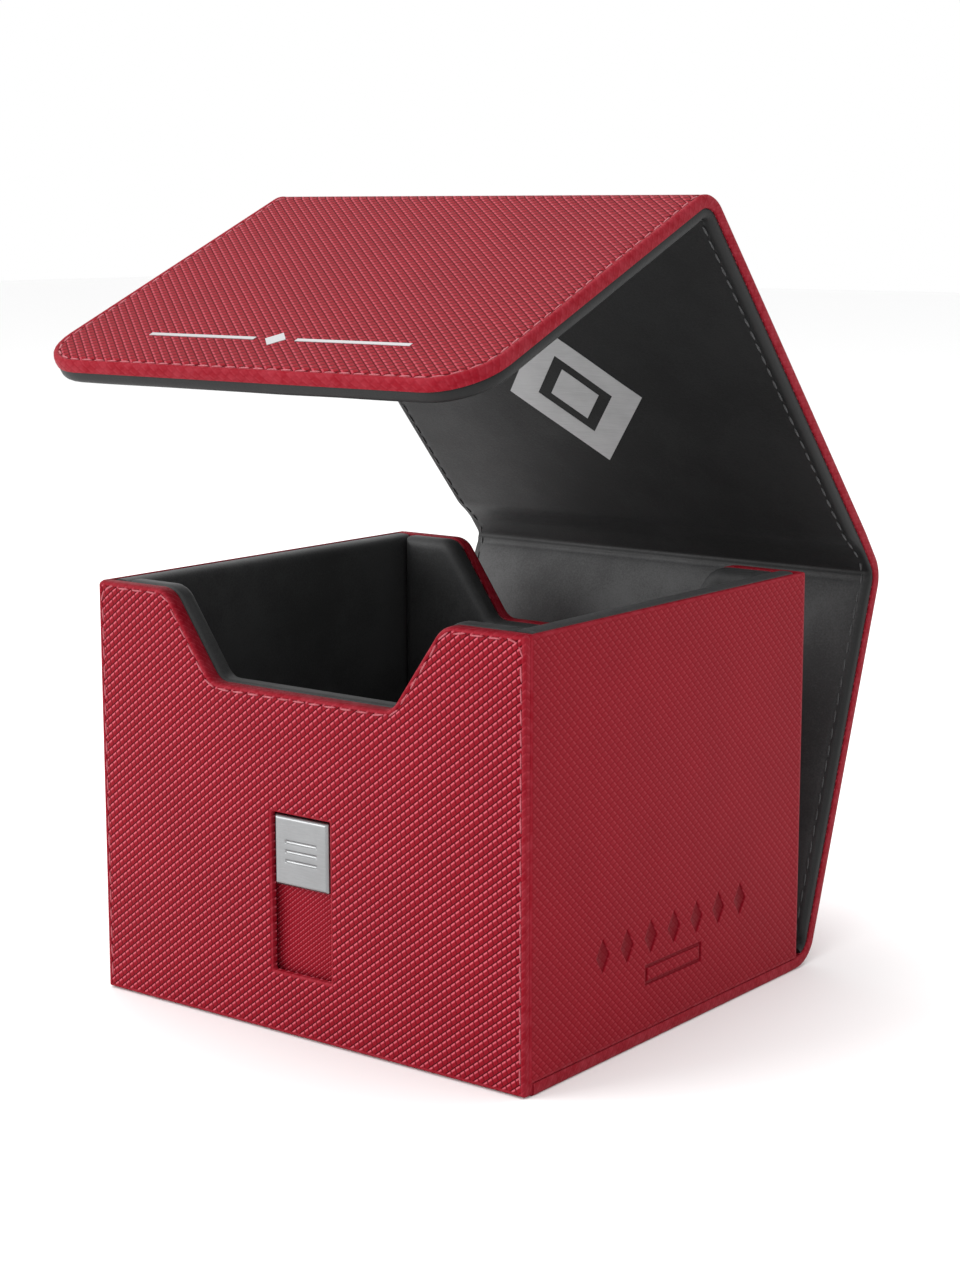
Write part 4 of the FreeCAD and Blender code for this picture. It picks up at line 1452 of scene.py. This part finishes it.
class DECKBOX_OT_emblem(bpy.types.Operator):
    """Lays the foil emblem on the lid's padding: a broad lozenge round a small one"""

    bl_idname = "deck_box.emblem"
    bl_label = "Emblem"

    def execute(self, context):
        wrap = Wrap(context.scene.deck_box_cover)
        low, high = box_mm("top_emblem")
        way = wrap.ways[4]
        middle = wrap.high + ((low.y + high.y) / 2 - wrap.points[4].x) / way.x
        size = ((high.x - low.x) / 2, (high.y - low.y) / 2 / abs(way.x))
        foil = brushed_metal("matt foil", (0.62, 0.62, 0.625), 0.5, 0.000006, 5000.0, metallic=0.35)
        pieces = [
            foil_ring("emblem_band", wrap, middle, size, 0.56, 1.0, foil),
            foil_ring("emblem_heart", wrap, middle, size, 0.03, 0.36, foil, solid=True),
        ]
        for piece, nodes in zip(pieces, (("top_emblem",), ())):
            fit(piece, nodes, "top_panel")
        return {"FINISHED"}


class DECKBOX_OT_fittings(bpy.types.Operator):
    """Gives the channel behind the slide and the foil marks their finish"""

    bl_idname = "deck_box.fittings"
    bl_label = "Channel and foil"

    def execute(self, context):
        finishes = {
            "flap_ornament": brushed_metal("silver foil", (0.60, 0.60, 0.61), 0.42, 0.000006, 5000.0),
            "channel_strip": leatherette("red leatherette channel", "channel", on_object=True),
        }
        for node, material in finishes.items():
            mesh = frame["nodes"][node].data
            mesh.materials.clear()
            mesh.materials.append(material)
        return {"FINISHED"}


# ---------------------------------------------------------------- stage

CAMERA_SPOT = (4.731, 69.826, 499.364)  # to the camera's right, up and back from the box's middle
FLOOR_REACH = 4.0
LAMPS = (("key", (-0.9, -1.1, 0.57), 1.0, 15.0), ("top", (-0.1, 0.0, 1.2), 0.8, 7.0))  # place, size, watts

class DECKBOX_OT_stage(bpy.types.Operator):
    """Sets the camera, the pale floor and the soft studio light"""

    bl_idname = "deck_box.stage"
    bl_label = "Stage"

    def execute(self, context):
        scene = context.scene
        stage = scene.deck_box_stage
        a, e = stage.azimuth, stage.elevation
        back = Vector((math.sin(a) * math.cos(e), -math.cos(a) * math.cos(e), math.sin(e)))
        right = Vector((math.cos(a), math.sin(a), 0.0))
        up = back.cross(right)
        camera = bpy.data.objects.new("camera", bpy.data.cameras.new("camera"))
        scene.collection.objects.link(camera)
        camera.data.lens = stage.lens
        camera.data.sensor_width = 36.0
        camera.data.clip_start = 0.01
        camera.data.clip_end = 20.0
        spot = sum((way * far for way, far in zip((right, up, back), CAMERA_SPOT)), Vector()) * MM
        camera.matrix_world = Matrix.Translation(spot) @ Matrix((right, up, back)).transposed().to_4x4()
        scene.camera = camera

        floor_mesh = bpy.data.meshes.new("floor")
        signs = ((-1, -1), (1, -1), (1, 1), (-1, 1))
        floor_mesh.from_pydata([(x * FLOOR_REACH, y * FLOOR_REACH, 0) for x, y in signs], [], [(0, 1, 2, 3)])
        floor = bpy.data.objects.new("floor", floor_mesh)
        scene.collection.objects.link(floor)
        paper, _, shader, _ = new_material("pale floor")
        for label, value in (("Base Color", (0.96, 0.96, 0.96)), ("Roughness", 0.9), ("Specular IOR Level", 0.1)):
            link(value, shader[label])
        floor_mesh.materials.append(paper)

        world = bpy.data.worlds.new("studio")
        scene.world = world
        world.use_nodes = True
        glow = world.node_tree.nodes["Background"].inputs
        link((1.0, 1.0, 1.0), glow["Color"])
        link(1.0, glow["Strength"])
        scene.view_settings.view_transform = "Standard"

        for name, where, size, power in LAMPS:
            data = bpy.data.lights.new(name, "AREA")
            data.shape = "SQUARE"
            data.size = size
            data.energy = power
            lamp = bpy.data.objects.new(name, data)
            scene.collection.objects.link(lamp)
            aim = Vector((0, 0, 0.07)) - Vector(where)
            lamp.matrix_world = Matrix.Translation(where) @ aim.to_track_quat("-Z", "Y").to_matrix().to_4x4()
        return {"FINISHED"}


class DECKBOX_PT_sidebar(bpy.types.Panel):
    """The deck box's sizes and the steps that make it"""

    bl_idname = "DECKBOX_PT_sidebar"
    bl_label = "Deck box"
    bl_space_type = "VIEW_3D"
    bl_region_type = "UI"
    bl_category = "Deck box"

    def draw(self, context):
        for group in SETTINGS:
            values = getattr(context.scene, group)
            section = self.layout.box()
            for label in values.bl_rna.properties.keys():
                if label not in ("rna_type", "name"):
                    section.prop(values, label)
        for step in STEPS:
            self.layout.operator(step.bl_idname)


SETTINGS = {
    "deck_box_cover": DeckBoxCover,
    "deck_box_seam": DeckBoxSeam,
    "deck_box_cloth": DeckBoxCloth,
    "deck_box_stage": DeckBoxStage,
}
STEPS = (
    DECKBOX_OT_stage,
    DECKBOX_OT_cover_leather,
    DECKBOX_OT_cover_padding,
    DECKBOX_OT_cover_stitches,
    DECKBOX_OT_end_walls,
    DECKBOX_OT_side_walls,
    DECKBOX_OT_lining,
    DECKBOX_OT_slide,
    DECKBOX_OT_emblem,
    DECKBOX_OT_fittings,
)


def register():
    for made in (*SETTINGS.values(), *STEPS, DECKBOX_PT_sidebar):
        bpy.utils.register_class(made)
    for name, group in SETTINGS.items():
        setattr(bpy.types.Scene, name, PointerProperty(type=group))


def unregister():
    for name in SETTINGS:
        delattr(bpy.types.Scene, name)
    for made in reversed((*SETTINGS.values(), *STEPS, DECKBOX_PT_sidebar)):
        bpy.utils.unregister_class(made)


def main():
    register()
    for step in STEPS:
        getattr(bpy.ops.deck_box, step.bl_idname.split(".")[1])()


if __name__ == "__main__":
    main()
